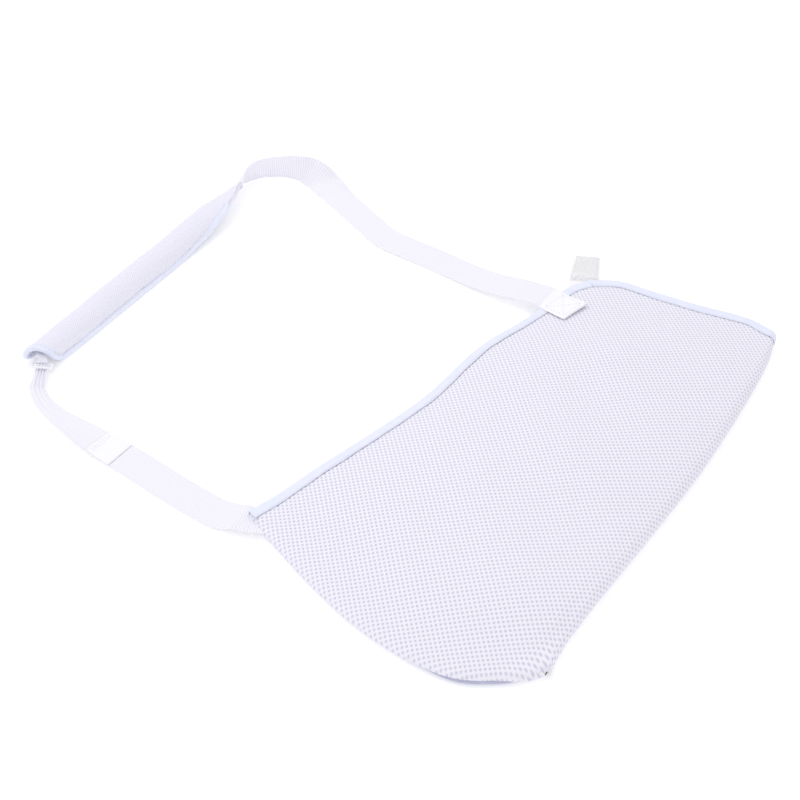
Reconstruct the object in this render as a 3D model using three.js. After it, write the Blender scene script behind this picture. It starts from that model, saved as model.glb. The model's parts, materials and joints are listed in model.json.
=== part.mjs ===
// Arm sling lying on a table: a folded spacer-mesh pouch for the forearm, and a neck loop made of a lower
// strap, a slider buckle, a curled shoulder pad and an upper strap that is sewn to the pouch's front.
// Millimetres, +Z up. While it is built, X runs from the elbow to the hand along the pouch's fold, Y from the
// fold to the mouth, and the zero point is the elbow end of the fold. The group is then moved so that the
// origin is the bottom centre of the whole sling.
import * as THREE from 'three';

// ---- driving dimensions -------------------------------------------------------------------------------
const GAP = 0.3; // between pieces that touch
const MESH_THICK = 3; // spacer mesh
const TAPE = 0.6; // binding tape
const BIND_DEPTH = 8; // how far the binding reaches over the mesh
const BIND_SLACK = 0.7; // between the mesh and the binding on each side
const WEB_WIDTH = 30; // strap webbing
const WEB_THICK = 1.4;
const THREAD = 0.4; // height of a row of stitches
const THREAD_GAP = 0.3; // between a row of stitches and the strap that it lies on
const THREAD_INSET = 3; // between a row of stitches and the strap's edges
const STITCH_ROW = 0.8; // width of a row in the box stitch
const HEM_ROW = 1.2; // width of the row across the hem
const FLOOR_RISE = TAPE + BIND_SLACK; // underside of the back panel, because the binding wraps under it
const BACK_MID = FLOOR_RISE + MESH_THICK / 2;
const EDGE_MID = 10.5; // middle of the front panel's mesh along its edges
const MOUTH_MID = (BACK_MID + EDGE_MID) / 2; // halfway between the panels at the mouth
const FOLD_RADIUS = 8; // middle of the mesh where it is folded along the forearm
const HAND_RADIUS = 5; // the same fold at the hand end
const SEAM_RADIUS = (EDGE_MID - BACK_MID) / 2; // the same fold where it meets the elbow seam
const PUFF = 11; // how much the front panel stands up in its middle
const LIP_GAP = 0.7; // between the fold's lower lip and the back panel's edge
const MOUTH_GAPE = 4; // how much the mouth's edge stands up between its two ends

// Outline of the pouch, seen from above. Each list is a smooth line through its points.
const FOLD_LINE = [[0, -1], [75, -5], [150, -10], [235, -14], [335, -12], [392, -7], [423, 0]];
const MOUTH_LINE = [
  [-9, 268], [43, 252], [115, 232], [177, 218], [260, 211], [336, 193], [375, 187], [397, 175],
];
const ELBOW_LINE = [[-19, 11], [-36, 31], [-47, 53], [-52, 92], [-47.5, 140], [-32, 199], [-18.5, 238]];
const HAND_LINE = [[426.5, 24], [425, 42], [419, 76], [414, 121], [411, 150]];

// The line about which the neck loop turns: the sewn ends of its two straps.
const TIP_HINGE = new THREE.Vector3(-12, 274, 7.35);
const TAB_HINGE = new THREE.Vector3(352, 199, 15);

// Cloth is sampled at these steps, so that a binding and its panel follow the same chords.
const ALONG = 30; // elbow to hand
const ACROSS = 15; // fold to mouth
const ROUND = 7; // round the fold

// Straps: [x, y, z of the middle, roll in degrees, width]. Roll 0 is flat; a positive roll lifts the left edge.
const LOWER_STRAP = [
  [-14, 281, 4.4, 0, 29], [-15.5, 291, 1.9, 0, 30], [-16, 303, 1.0, 0, 30], [-14.5, 343, 1.0, 0, 30],
  [-11.5, 385, 1.0, 0, 30], [-10.5, 414, 1.4, 2, 30], [-10.3, 438, 4.2, 12, 30], [-10, 460, 6.8, 24, 28.5],
  [-8, 482, 8.2, 32, 25], [-3.5, 498, 9.6, 34, 19], [3.5, 510, 10.8, 30, 14.5],
];
const UPPER_STRAP = [
  [332, 546, 15.0, -54, 30], [343, 547.5, 15.4, -64, 30], [355, 546, 15.2, -72, 30], [367, 540, 15.1, -75, 30],
  [378.5, 527.5, 15.1, -78, 30], [386.5, 510, 15.5, -92, 30], [390.5, 492, 13.0, -126, 30],
  [389, 472, 5.6, -164, 30], [381, 448, 1.5, -180, 30], [366.5, 410, 1.2, -180, 30], [355, 379, 2.2, -180, 30],
  [353.5, 352, 2.6, -180, 30], [354, 318, 2.0, -180, 30], [351.5, 282, 3.2, -180, 30], [350, 252, 6.6, -180, 30],
  [350.5, 226, 11.8, -180, 30],
];
const TAIL_GAP = 0.6; // between the tail and the strap that it lies on
const TAIL_LENGTH = 138; // free end of the lower strap beyond the buckle
const HEM_LENGTH = 26; // its folded and stitched end

// Slider buckle, in its own frame: length along the strap, width across it.
const BUCKLE_LENGTH = 15;
const BUCKLE_WIDTH = 18;
const BUCKLE_THICK = 3;
const END_BAR = 2.4;
const MIDDLE_BAR = 2.4;
const SLOT_LENGTH = 13;
const BUCKLE_PLACE = new THREE.Vector3(26, 526, 8.6);
const BUCKLE_HEADING = 36; // degrees from +X
const BUCKLE_ROLL = 8;
const BUCKLE_WEB = 10.5; // the strap is gathered to this width in the slots
const LOOP_WIDTH = 8; // the pad's loop round the last bar
const LOOP_THICK = 0.8;

// Shoulder pad: [x, y of the middle, flat width, arc in degrees, roll in degrees].
const PAD_STATIONS = [
  [35, 538, 46, 164, 0], [66, 538.5, 46, 158, 0], [100, 539, 46, 152, 0], [160, 539, 46, 148, 0],
  [215, 539, 46, 144, 1], [250, 540, 44, 122, 7], [280, 542, 40, 76, 18], [303, 543.5, 36, 18, 31],
  [324, 544.5, 32, 4, 44],
];
const PAD_BIND_DEPTH = 4.4;
const PAD_SKIN = 0.9;
const PAD_CORE = 1.6;
const PAD_HALF = PAD_CORE / 2 + GAP + PAD_SKIN;
const PAD_SLACK = 0.9; // between the pad's skins and its binding
const PAD_REST = 3.2; // height of the middle of the pad's thickness at its lower edges
const PAD_EDGE = 6.5; // straight stretch of the pad's section along each bound edge
const PAD_SKEW = 18; // how much further the near corner of the lower end is set back
const PAD_CORNER = 0.045; // rounded corners of the lower end, as a share of the pad's length
const PAD_CORNER_SIDE = 0.2; // and as a share of its width
const PAD_ROWS = 34; // steps along the pad between its rounded end and the strap
const PAD_COLUMNS = 10; // steps across it
const PAD_BOUND = 28; // the binding ends at this step, short of the strap

// Closure tab at the hand end of the mouth.
const CLOSURE_WIDTH = 24;
const CLOSURE_HINGE = new THREE.Vector3(405, 182.4, 9.2);
const CLOSURE_HEADING = 26; // degrees from +X
const CLOSURE_LENGTH = 34;
const HOOK_LENGTH = 31;
const HOOK_THICK = 1.6;
const HOOK_MARGIN = 1; // between the hook tape and the tab's end and sides
const CLOSURE_DROOP = 3.5; // how far the tab's end hangs below its hinge

const WHITE_MESH = 0xeeecfb;
const TAPE_BLUE = 0xe2e9fb;
const WEB_WHITE = 0xf0eefa;
const THREAD_WHITE = 0xf7f7ff;
const HOOK_GREY = 0xdddbe4;
const BUCKLE_WHITE = 0xf4f4f8;

// ---- small helpers --------------------------------------------------------------------------------------
const degrees = (angle) => (angle * Math.PI) / 180;
const lerp = THREE.MathUtils.lerp;
const UP = new THREE.Vector3(0, 0, 1);

function smooth(from, to, value) {
  const t = THREE.MathUtils.clamp((value - from) / (to - from), 0, 1);
  return t * t * (3 - 2 * t);
}

function lineThrough(points) {
  const places = points.map(([x, y, z = 0]) => new THREE.Vector3(x, y, z));
  return new THREE.CatmullRomCurve3(places, false, 'centripetal');
}

// A closed solid from triangles given as corner numbers; it is turned outside out if it comes out inverted.
function solid(points, triangles) {
  let volume = 0;
  for (const [a, b, c] of triangles) {
    volume += points[a].dot(new THREE.Vector3().crossVectors(points[b], points[c]));
  }
  const index = triangles.flatMap(([a, b, c]) => (volume > 0 ? [a, b, c] : [a, c, b]));
  const geometry = new THREE.BufferGeometry();
  const places = points.flatMap((p) => [p.x, p.y, p.z]);
  geometry.setAttribute('position', new THREE.Float32BufferAttribute(places, 3));
  geometry.setIndex(index);
  geometry.computeVertexNormals();
  return geometry;
}

// A solid swept through rings of points, each ring one closed outline; flat is that outline in 2-D.
function sweep(rings, flat) {
  const size = flat.length;
  const points = rings.flat();
  const triangles = [];
  for (let i = 0; i + 1 < rings.length; i += 1) {
    for (let j = 0; j < size; j += 1) {
      const a = i * size + j;
      const b = i * size + ((j + 1) % size);
      triangles.push([a, b, b + size], [a, b + size, a + size]);
    }
  }
  const caps = THREE.ShapeUtils.triangulateShape(flat.map(([x, y]) => new THREE.Vector2(x, y)), []);
  const turn = THREE.ShapeUtils.area(flat.map(([x, y]) => new THREE.Vector2(x, y))) > 0 ? 1 : -1;
  const last = (rings.length - 1) * size;
  for (const [a, b, c] of caps) {
    triangles.push(turn > 0 ? [a, c, b] : [a, b, c]);
    triangles.push(turn > 0 ? [last + a, last + b, last + c] : [last + a, last + c, last + b]);
  }
  return solid(points, triangles);
}

// A slab between two offsets from a grid of {point, normal}.
function slab(grid, low, high) {
  const rows = grid.length;
  const columns = grid[0].length;
  const points = [];
  for (const offset of [low, high]) {
    for (const { point, normal } of grid.flat()) points.push(point.clone().addScaledVector(normal, offset));
  }
  const at = (side, i, j) => side * rows * columns + i * columns + j;
  const triangles = [];
  const quad = (a, b, c, d) => triangles.push([a, b, c], [a, c, d]);
  for (let i = 0; i + 1 < rows; i += 1) {
    for (let j = 0; j + 1 < columns; j += 1) {
      quad(at(1, i, j), at(1, i + 1, j), at(1, i + 1, j + 1), at(1, i, j + 1));
      quad(at(0, i, j), at(0, i, j + 1), at(0, i + 1, j + 1), at(0, i + 1, j));
    }
  }
  for (let i = 0; i + 1 < rows; i += 1) {
    quad(at(1, i, 0), at(0, i, 0), at(0, i + 1, 0), at(1, i + 1, 0));
    quad(at(1, i, columns - 1), at(1, i + 1, columns - 1), at(0, i + 1, columns - 1), at(0, i, columns - 1));
  }
  for (let j = 0; j + 1 < columns; j += 1) {
    quad(at(1, 0, j), at(1, 0, j + 1), at(0, 0, j + 1), at(0, 0, j));
    quad(at(1, rows - 1, j), at(0, rows - 1, j), at(0, rows - 1, j + 1), at(1, rows - 1, j + 1));
  }
  return solid(points, triangles);
}

// Frames along a strap: its place, the direction across it, its face normal and its width.
function strapFrames(stations, steps) {
  const route = lineThrough(stations);
  const last = stations.length - 1;
  const frames = [];
  for (let i = 0; i <= steps; i += 1) {
    const t = i / steps;
    const k = Math.min(Math.floor(t * last), last - 1);
    const f = t * last - k;
    const ahead = route.getTangent(t);
    const across = new THREE.Vector3().crossVectors(ahead, UP).normalize();
    const roll = lerp(stations[k][3], stations[k + 1][3], f * f * (3 - 2 * f));
    across.applyAxisAngle(ahead, degrees(roll));
    const normal = new THREE.Vector3().crossVectors(across, ahead).normalize();
    const width = lerp(stations[k][4], stations[k + 1][4], f);
    frames.push({ point: route.getPoint(t), across, normal, width });
  }
  return frames;
}

// A frame at a sewn end, squared to the line that the loop turns about and set off from it.
// inward is true where the strap runs towards the pouch.
function endFrame(hinge, away, width, inward) {
  const out = new THREE.Vector3().crossVectors(UP, hingeAxis).normalize();
  const normal = new THREE.Vector3().crossVectors(hingeAxis, out).normalize();
  const point = hinge.clone().addScaledVector(out, away).addScaledVector(normal, -WEB_THICK / 2);
  return { point, across: hingeAxis.clone().multiplyScalar(inward ? -1 : 1), normal, width };
}

function ribbon(frames, low, high) {
  const flat = [[-0.5, low], [0.5, low], [0.5, high], [-0.5, high]];
  const rings = frames.map(({ point, across, normal, width }) =>
    flat.map(([s, n]) => point.clone().addScaledVector(across, s * width).addScaledVector(normal, n)));
  return sweep(rings, flat);
}

// A binding tape wrapped over an edge: half is half the slot that the cloth sits in.
function channel(frames, half, depth) {
  const outer = half + TAPE;
  const flat = [
    [-depth, -outer], [GAP + TAPE, -outer], [GAP + TAPE, outer], [-depth, outer],
    [-depth, half], [GAP, half], [GAP, -half], [-depth, -half],
  ];
  const rings = frames.map(({ point, outward, normal }) =>
    flat.map(([s, n]) => point.clone().addScaledVector(outward, s).addScaledVector(normal, n)));
  return sweep(rings, flat);
}

function withOutward(points, normals, side) {
  return points.map((point, i) => {
    const before = points[Math.max(i - 1, 0)];
    const after = points[Math.min(i + 1, points.length - 1)];
    const along = after.clone().sub(before).normalize();
    const outward = new THREE.Vector3().crossVectors(along, normals[i]).normalize().multiplyScalar(side);
    const normal = normals[i].clone().addScaledVector(outward, -normals[i].dot(outward)).normalize();
    return { point, outward, normal };
  });
}

// ---- the pouch ------------------------------------------------------------------------------------------
const foldLine = lineThrough(FOLD_LINE);
const foldRadius = (u) => {
  const fromElbow = lerp(SEAM_RADIUS, FOLD_RADIUS, smooth(0, 0.16, u));
  return lerp(fromElbow, HAND_RADIUS, smooth(0.8, 1, u));
};
const foldInner = (u) => foldLine.getPointAt(u).add(new THREE.Vector3(0, foldRadius(u), 0));
const toPair = (v) => [v.x, v.y];
const mouthLine = lineThrough(MOUTH_LINE);
const elbowLine = lineThrough([toPair(foldInner(0)), ...ELBOW_LINE, MOUTH_LINE[0]]);
const handLine = lineThrough([toPair(foldInner(1)), ...HAND_LINE, MOUTH_LINE[MOUTH_LINE.length - 1]]);

// A place on the panels seen from above: u from elbow to hand, v from fold to mouth.
function plan(u, v) {
  const place = new THREE.Vector3();
  place.addScaledVector(foldInner(u), 1 - v).addScaledVector(mouthLine.getPointAt(u), v);
  place.addScaledVector(elbowLine.getPointAt(v), 1 - u).addScaledVector(handLine.getPointAt(v), u);
  place.addScaledVector(foldInner(0), -(1 - u) * (1 - v)).addScaledVector(foldInner(1), -u * (1 - v));
  place.addScaledVector(mouthLine.getPointAt(0), -(1 - u) * v).addScaledVector(mouthLine.getPointAt(1), -u * v);
  return place;
}

function frontMid(u, v) {
  const place = plan(u, v);
  const foldTop = BACK_MID + 2 * foldRadius(u);
  const puff = PUFF * smooth(0, 0.22, u) * (1 - smooth(0.72, 1, u)) * 4 * v * (1 - v);
  const gape = MOUTH_GAPE * smooth(0.06, 0.2, u) * (1 - smooth(0.62, 0.8, u)) * v * v;
  place.z = EDGE_MID + (foldTop - EDGE_MID) * (1 - v) ** 1.5 + puff + gape;
  return place;
}

// The pouch's cloth from the lower lip of the fold (v = -1) round the fold (v = 0) to the mouth (v = 1).
function cloth(u, v) {
  if (v >= 0) return frontMid(u, v);
  const radius = foldRadius(u);
  const angle = degrees(90 + 180 * v);
  const place = foldInner(u);
  place.y -= radius * Math.cos(angle);
  place.z = BACK_MID + radius + radius * Math.sin(angle);
  return place;
}

function clothFrame(u, v) {
  const step = 0.004;
  const along = cloth(Math.min(u + step, 1), v).sub(cloth(Math.max(u - step, 0), v));
  const across = cloth(u, Math.min(v + step, 1)).sub(cloth(u, Math.max(v - step, -1)));
  return { point: cloth(u, v), normal: along.cross(across).normalize() };
}

function frontPanel() {
  const grid = [];
  for (let i = 0; i <= ALONG; i += 1) {
    const row = [];
    for (let j = 0; j <= ROUND; j += 1) row.push(clothFrame(i / ALONG, j / ROUND - 1));
    for (let j = 1; j <= ACROSS; j += 1) row.push(clothFrame(i / ALONG, j / ACROSS));
    grid.push(row);
  }
  return slab(grid, -MESH_THICK / 2, MESH_THICK / 2);
}

function backPanel() {
  const lip = new THREE.Vector3(0, LIP_GAP, 0);
  const outline = [];
  for (let i = 0; i <= ALONG; i += 1) outline.push(plan(i / ALONG, 0).add(lip));
  for (let j = 1; j < ACROSS; j += 1) outline.push(plan(1, j / ACROSS));
  for (let i = 0; i < ALONG; i += 1) outline.push(plan(1 - i / ALONG, 1));
  for (let j = 0; j < ACROSS; j += 1) outline.push(plan(0, 1 - j / ACROSS));
  const shape = new THREE.Shape(outline.map((p) => new THREE.Vector2(p.x, p.y)));
  const geometry = new THREE.ExtrudeGeometry(shape, { depth: MESH_THICK, bevelEnabled: false });
  geometry.translate(0, 0, FLOOR_RISE);
  return geometry;
}

// The binding runs along the front panel's mouth, down its hand end, round the fold and back along the back.
function mouthBinding() {
  const back = (u, v) => {
    const point = plan(u, v);
    point.z = BACK_MID;
    return { point, normal: new THREE.Vector3(0, 0, -1) };
  };
  const frames = [];
  for (let i = 1; i < ALONG; i += 1) frames.push(clothFrame(i / ALONG, 1));
  for (let j = 0; j < ACROSS; j += 1) frames.push(clothFrame(1, 1 - j / ACROSS));
  for (let j = 0; j < ROUND; j += 1) frames.push(clothFrame(1, -j / ROUND));
  for (let j = 0; j < ACROSS; j += 1) frames.push(back(1, j / ACROSS));
  for (let i = 0; i < ALONG; i += 1) frames.push(back(1 - i / ALONG, 1));
  const outlined = withOutward(frames.map((f) => f.point), frames.map((f) => f.normal), -1);
  return channel(outlined, MESH_THICK / 2 + BIND_SLACK, BIND_DEPTH);
}

// The turned-in seam allowance that joins the two panels along the elbow curve.
function elbowSeam() {
  const inset = 6;
  const width = 9;
  const low = BACK_MID + MESH_THICK / 2 + GAP;
  const high = EDGE_MID - MESH_THICK / 2 - GAP;
  const frames = [];
  const steps = 22;
  for (let i = 0; i <= steps; i += 1) {
    const v = lerp(0.03, 0.84, i / steps);
    const place = plan(0, v);
    const ahead = plan(0, v + 0.01).sub(plan(0, v - 0.01)).normalize();
    const inward = new THREE.Vector3().crossVectors(ahead, UP).normalize();
    frames.push({ point: place.addScaledVector(inward, inset), across: inward, normal: UP, width });
  }
  return ribbon(frames, low, high);
}

// ---- the neck loop's sewn ends ----------------------------------------------------------------------------
const hingeAxis = TAB_HINGE.clone().sub(TIP_HINGE).normalize();

// The lower strap's end, sewn between the panels at the elbow tip.
function lowerStrapEnd() {
  const inside = strapFrames([[-9, 264, MOUTH_MID, 0, 26], [-4, 252, MOUTH_MID, 0, 24], [2, 238, MOUTH_MID, 0, 22]], 8);
  return ribbon([endFrame(TIP_HINGE, -GAP, 27, true), ...inside], -WEB_THICK / 2, WEB_THICK / 2);
}

// The upper strap's end, laid over the bound edge and sewn flat on the front panel.
const TAB_STATIONS = [
  [351.6, 193, 14.4, 0, 30], [350, 186.5, 14.9, 0, 31], [348, 179, 16.4, 0, 31], [346, 170.5, 18.1, 0, 32],
  [344, 162.5, 19.7, 0, 32],
];

function frontTab() {
  const sewn = strapFrames(TAB_STATIONS, 12);
  return ribbon([endFrame(TAB_HINGE, -GAP, 30, true), ...sewn], -WEB_THICK / 2, WEB_THICK / 2);
}

// Frames under the pad's top end, this far below the middle of the pad's thickness.
function underPad(depth, width, places) {
  return places.map((t) => {
    const { point, normal } = padFrame(t, 0);
    const across = padMid(t, -0.01).sub(padMid(t, 0.01)).normalize();
    return { point: point.addScaledVector(normal, -depth), across, normal, width };
  });
}

const STRAP_DEPTH = PAD_HALF + 4 * GAP + WEB_THICK / 2; // the upper strap's middle under the pad

function upperStrap() {
  const hidden = underPad(STRAP_DEPTH, WEB_WIDTH - 2, [0.95, 0.975, 1]);
  const free = strapFrames(UPPER_STRAP, 60);
  const sewn = endFrame(TAB_HINGE, GAP, 30, false);
  sewn.normal.negate();
  return ribbon([...hidden, ...free, sewn], -WEB_THICK / 2, WEB_THICK / 2);
}

// The row of stitches that holds the upper strap under the pad.
function padStitch() {
  const depth = STRAP_DEPTH + WEB_THICK / 2 + THREAD_GAP + THREAD / 2;
  return ribbon(underPad(depth, WEB_WIDTH - 2 * THREAD_INSET, [0.96, 0.967]), -THREAD / 2, THREAD / 2);
}

// A box stitch with a cross, lying on the sewn strap.
function boxStitch() {
  const row = STITCH_ROW;
  const [from, to] = [TAB_STATIONS[1], TAB_STATIONS[3]].map(([x, y, z]) => new THREE.Vector3(x, y, z));
  const l = from.distanceTo(to) / 2;
  const w = WEB_WIDTH / 2 - THREAD_INSET;
  const shape = new THREE.Shape();
  shape.moveTo(-w, -l).lineTo(w, -l).lineTo(w, l).lineTo(-w, l).closePath();
  const slant = Math.hypot(w, l);
  const alongSide = (row / 2) * (slant / l);
  const alongEnd = (row / 2) * (slant / w);
  for (const side of [-1, 1]) {
    const beside = new THREE.Path();
    beside.moveTo(side * (w - row), -l + row + alongEnd).lineTo(side * (w - row), l - row - alongEnd);
    beside.lineTo(side * alongSide, 0).closePath();
    const beyond = new THREE.Path();
    beyond.moveTo(-w + row + alongSide, side * (l - row)).lineTo(w - row - alongSide, side * (l - row));
    beyond.lineTo(0, side * alongEnd).closePath();
    shape.holes.push(beside, beyond);
  }
  const geometry = new THREE.ExtrudeGeometry(shape, { depth: THREAD, bevelEnabled: false });
  const ahead = to.clone().sub(from).normalize();
  const across = new THREE.Vector3().crossVectors(ahead, UP).normalize();
  const normal = new THREE.Vector3().crossVectors(across, ahead);
  const place = from.lerp(to, 0.5).addScaledVector(normal, WEB_THICK / 2 + THREAD_GAP);
  return geometry.applyMatrix4(new THREE.Matrix4().makeBasis(across, ahead, normal).setPosition(place));
}

// ---- the lower strap, its buckle and its free tail ---------------------------------------------------------
const buckleAhead = new THREE.Vector3(Math.cos(degrees(BUCKLE_HEADING)), Math.sin(degrees(BUCKLE_HEADING)), 0);
const buckleAcross = new THREE.Vector3().crossVectors(buckleAhead, UP).applyAxisAngle(buckleAhead, degrees(BUCKLE_ROLL));
const buckleNormal = new THREE.Vector3().crossVectors(buckleAcross, buckleAhead);

function inBuckle(length, height, shift = 0) {
  const place = BUCKLE_PLACE.clone().addScaledVector(buckleAhead, length).addScaledVector(buckleNormal, height);
  return place.addScaledVector(buckleAcross, -shift);
}

// The strap's way over the first bar, under the middle bar and back up: [length, height] in the buckle.
const WRAP = [[-12, 3.2], [-8, 3.4], [-6.2, 3.35], [-4.5, 2.7], [-3.6, 1.5], [-3.1, 0], [-2.6, -1.5], [-1.4, -2.6],
  [0, -2.9], [1.4, -2.6], [2.5, -1.5], [2.6, 0], [2.6, 1.6], [2.5, 3.5], [1.9, 4.9], [0.7, 5.4]];
// The pad's loop round the last bar, from the pad and back to it: [length, height, shift to the left].
const PAD_LOOP = [[24, 4.7, 2.2], [18, 4.5, 2.2], [13, 4.3, 2.1], [10, 3.9, 1.3], [7.8, 3.2, 0.3], [5.4, 2.8],
  [4.2, 1.6], [4.2, -1.4], [5.0, -2.7], [7.6, -2.9, 0.3], [9.5, -1.6, 1.1], [11.5, 0.2, 1.8], [14, 1.7, 2.2],
  [18, 2.8, 2.2], [24, 3.2, 2.2]];

// Frames through places in the buckle, with the strap's upper face outwards.
function buckleFrames(places, width) {
  return places.map(([length, height, shift], i) => {
    const [aheadLength, aheadHeight] = places[Math.min(i + 1, places.length - 1)];
    const [backLength, backHeight] = places[Math.max(i - 1, 0)];
    const ahead = inBuckle(aheadLength, aheadHeight).sub(inBuckle(backLength, backHeight)).normalize();
    const normal = new THREE.Vector3().crossVectors(buckleAcross, ahead).normalize();
    return { point: inBuckle(length, height, shift), across: buckleAcross, normal, width };
  });
}

// Frames that turn evenly from one frame to the next.
function bridge(from, to, steps) {
  return Array.from({ length: steps - 1 }, (_, i) => {
    const f = (i + 1) / steps;
    return {
      point: from.point.clone().lerp(to.point, f),
      across: from.across.clone().lerp(to.across, f).normalize(),
      normal: from.normal.clone().lerp(to.normal, f).normalize(),
      width: lerp(from.width, to.width, f),
    };
  });
}

function lowerStrapFrames() {
  const free = [endFrame(TIP_HINGE, GAP, 28, false), ...strapFrames(LOWER_STRAP, 60)];
  const wrapped = buckleFrames(WRAP, BUCKLE_WEB);
  return [...free, ...bridge(free[free.length - 1], wrapped[0], 8), ...wrapped];
}

function lowerStrap() {
  return ribbon(lowerStrapFrames(), -WEB_THICK / 2, WEB_THICK / 2);
}

// Places over the lower strap's upper face, measured from the buckle's middle bar.
function tailFrames(lift, from, to, steps) {
  const low = WRAP[1][1] + WEB_THICK + TAIL_GAP;
  const first = buckleFrames([[0.2, low], [-2, low], [-4.5, low]], BUCKLE_WEB);
  first.forEach((frame) => frame.normal.negate());
  const raise = lift - WEB_THICK - TAIL_GAP;
  first.forEach((frame) => frame.point.addScaledVector(frame.normal, raise));
  const count = lowerStrapFrames().length - WRAP.length + 2;
  const under = lowerStrapFrames().slice(1, count).reverse();
  const over = under.map((frame) => ({ ...frame, point: frame.point.clone().addScaledVector(frame.normal, lift) }));
  const marks = [...first, ...over];
  const runs = [0];
  marks.slice(1).forEach((frame, i) => runs.push(runs[i] + frame.point.distanceTo(marks[i].point)));
  return Array.from({ length: steps + 1 }, (_, i) => {
    const want = lerp(from, to, i / steps);
    const k = Math.max(1, runs.findIndex((run) => run >= want));
    const [a, b] = [marks[k - 1], marks[k]];
    const f = (want - runs[k - 1]) / (runs[k] - runs[k - 1]);
    return {
      point: a.point.clone().lerp(b.point, f),
      across: a.across.clone().lerp(b.across, f).normalize(),
      normal: a.normal.clone().lerp(b.normal, f).normalize(),
      width: lerp(a.width, b.width, f) - 1,
    };
  });
}

function strapTail() {
  return ribbon(tailFrames(WEB_THICK + TAIL_GAP, 0, TAIL_LENGTH, 48), -WEB_THICK / 2, WEB_THICK / 2);
}

function tailHem() {
  const lift = 2 * (WEB_THICK + TAIL_GAP);
  return ribbon(tailFrames(lift, TAIL_LENGTH - HEM_LENGTH, TAIL_LENGTH, 8), -WEB_THICK / 2, WEB_THICK / 2);
}

function hemStitch() {
  const lift = 2 * (WEB_THICK + TAIL_GAP) + WEB_THICK / 2 + THREAD_GAP + THREAD / 2;
  const place = TAIL_LENGTH - HEM_LENGTH + THREAD_INSET;
  const frames = tailFrames(lift, place, place + HEM_ROW, 2);
  frames.forEach((frame) => { frame.width = WEB_WIDTH - 2 * THREAD_INSET; });
  return ribbon(frames, -THREAD / 2, THREAD / 2);
}

function padLoop() {
  return ribbon(buckleFrames(PAD_LOOP, LOOP_WIDTH), -LOOP_THICK / 2, LOOP_THICK / 2);
}

function buckle() {
  const shape = new THREE.Shape();
  const l = BUCKLE_LENGTH / 2;
  const w = BUCKLE_WIDTH / 2;
  const round = 2;
  shape.moveTo(-w + round, -l).lineTo(w - round, -l).quadraticCurveTo(w, -l, w, -l + round);
  shape.lineTo(w, l - round).quadraticCurveTo(w, l, w - round, l);
  shape.lineTo(-w + round, l).quadraticCurveTo(-w, l, -w, l - round);
  shape.lineTo(-w, -l + round).quadraticCurveTo(-w, -l, -w + round, -l);
  const s = SLOT_LENGTH / 2;
  for (const side of [-1, 1]) {
    const near = (side * MIDDLE_BAR) / 2;
    const far = side * (l - END_BAR);
    const slot = new THREE.Path();
    slot.moveTo(-s, near).lineTo(s, near).lineTo(s, far).lineTo(-s, far).closePath();
    shape.holes.push(slot);
  }
  const bevel = 0.5;
  const geometry = new THREE.ExtrudeGeometry(shape, {
    depth: BUCKLE_THICK - 2 * bevel, bevelEnabled: true, bevelThickness: bevel, bevelSize: bevel,
    bevelOffset: -bevel, bevelSegments: 2, curveSegments: 6,
  });
  geometry.translate(0, 0, bevel - BUCKLE_THICK / 2);
  const place = new THREE.Matrix4().makeBasis(buckleAcross, buckleAhead, buckleNormal).setPosition(BUCKLE_PLACE);
  return geometry.applyMatrix4(place);
}

// ---- the shoulder pad ---------------------------------------------------------------------------------------
const padLine = lineThrough(PAD_STATIONS.map(([x, y]) => [x, y]));

function padSection(t) {
  const last = PAD_STATIONS.length - 1;
  const k = Math.min(Math.floor(t * last), last - 1);
  const f = t * last - k;
  const [width, arc, roll] = [2, 3, 4].map((i) => lerp(PAD_STATIONS[k][i], PAD_STATIONS[k + 1][i], f * f * (3 - 2 * f)));
  return { width, arc: degrees(arc), roll: degrees(roll) };
}

// The pad's section: an arc with a straight stretch along each edge; run is measured from its middle.
function padSectionPoint(width, arc, roll, run) {
  const half = width / 2 - PAD_EDGE;
  const radius = (2 * half) / arc;
  const bend = THREE.MathUtils.clamp(run, -half, half) / radius;
  const rest = run - bend * radius;
  const y = radius * Math.sin(bend) + rest * Math.cos(bend);
  const z = radius * Math.cos(bend) - rest * Math.sin(bend);
  return [y * Math.cos(roll) + z * Math.sin(roll), z * Math.cos(roll) - y * Math.sin(roll)];
}

// A place on the middle of the pad's thickness: t along it, s across it from the near edge (-0.5) to the far.
function padMid(t, s) {
  const { width, arc, roll } = padSection(t);
  const ends = [-0.5, 0.5].map((side) => padSectionPoint(width, arc, roll, side * width));
  const lowest = Math.min(ends[0][1], ends[1][1]);
  const [y, z] = padSectionPoint(width, arc, roll, s * width);
  const place = padLine.getPoint(t);
  const skew = PAD_SKEW * s * Math.max(0, 1 - t / 0.2);
  return new THREE.Vector3(place.x - skew, place.y + y - (ends[0][0] + ends[1][0]) / 2, z - lowest + PAD_REST);
}

function padFrame(t, s) {
  const step = 0.002;
  const along = padMid(Math.min(t + step, 1), s).sub(padMid(Math.max(t - step, 0), s));
  const across = padMid(t, s + step).sub(padMid(t, s - step));
  return { point: padMid(t, s), normal: along.cross(across).normalize() };
}

// Half the pad's width at t, as a share, with the lower end's corners rounded.
function padReach(t) {
  const short = Math.max(0, 1 - t / PAD_CORNER);
  return 0.5 - PAD_CORNER_SIDE * (1 - Math.sqrt(1 - short * short));
}

// Steps along the pad, closer together where its lower end is rounded.
const CORNER_STEPS = [0, 0.04, 0.15, 0.32, 0.6];
const padSteps = CORNER_STEPS.map((share) => share * PAD_CORNER);
for (let i = 0; i <= PAD_ROWS; i += 1) padSteps.push(lerp(PAD_CORNER, 1, i / PAD_ROWS));

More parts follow.
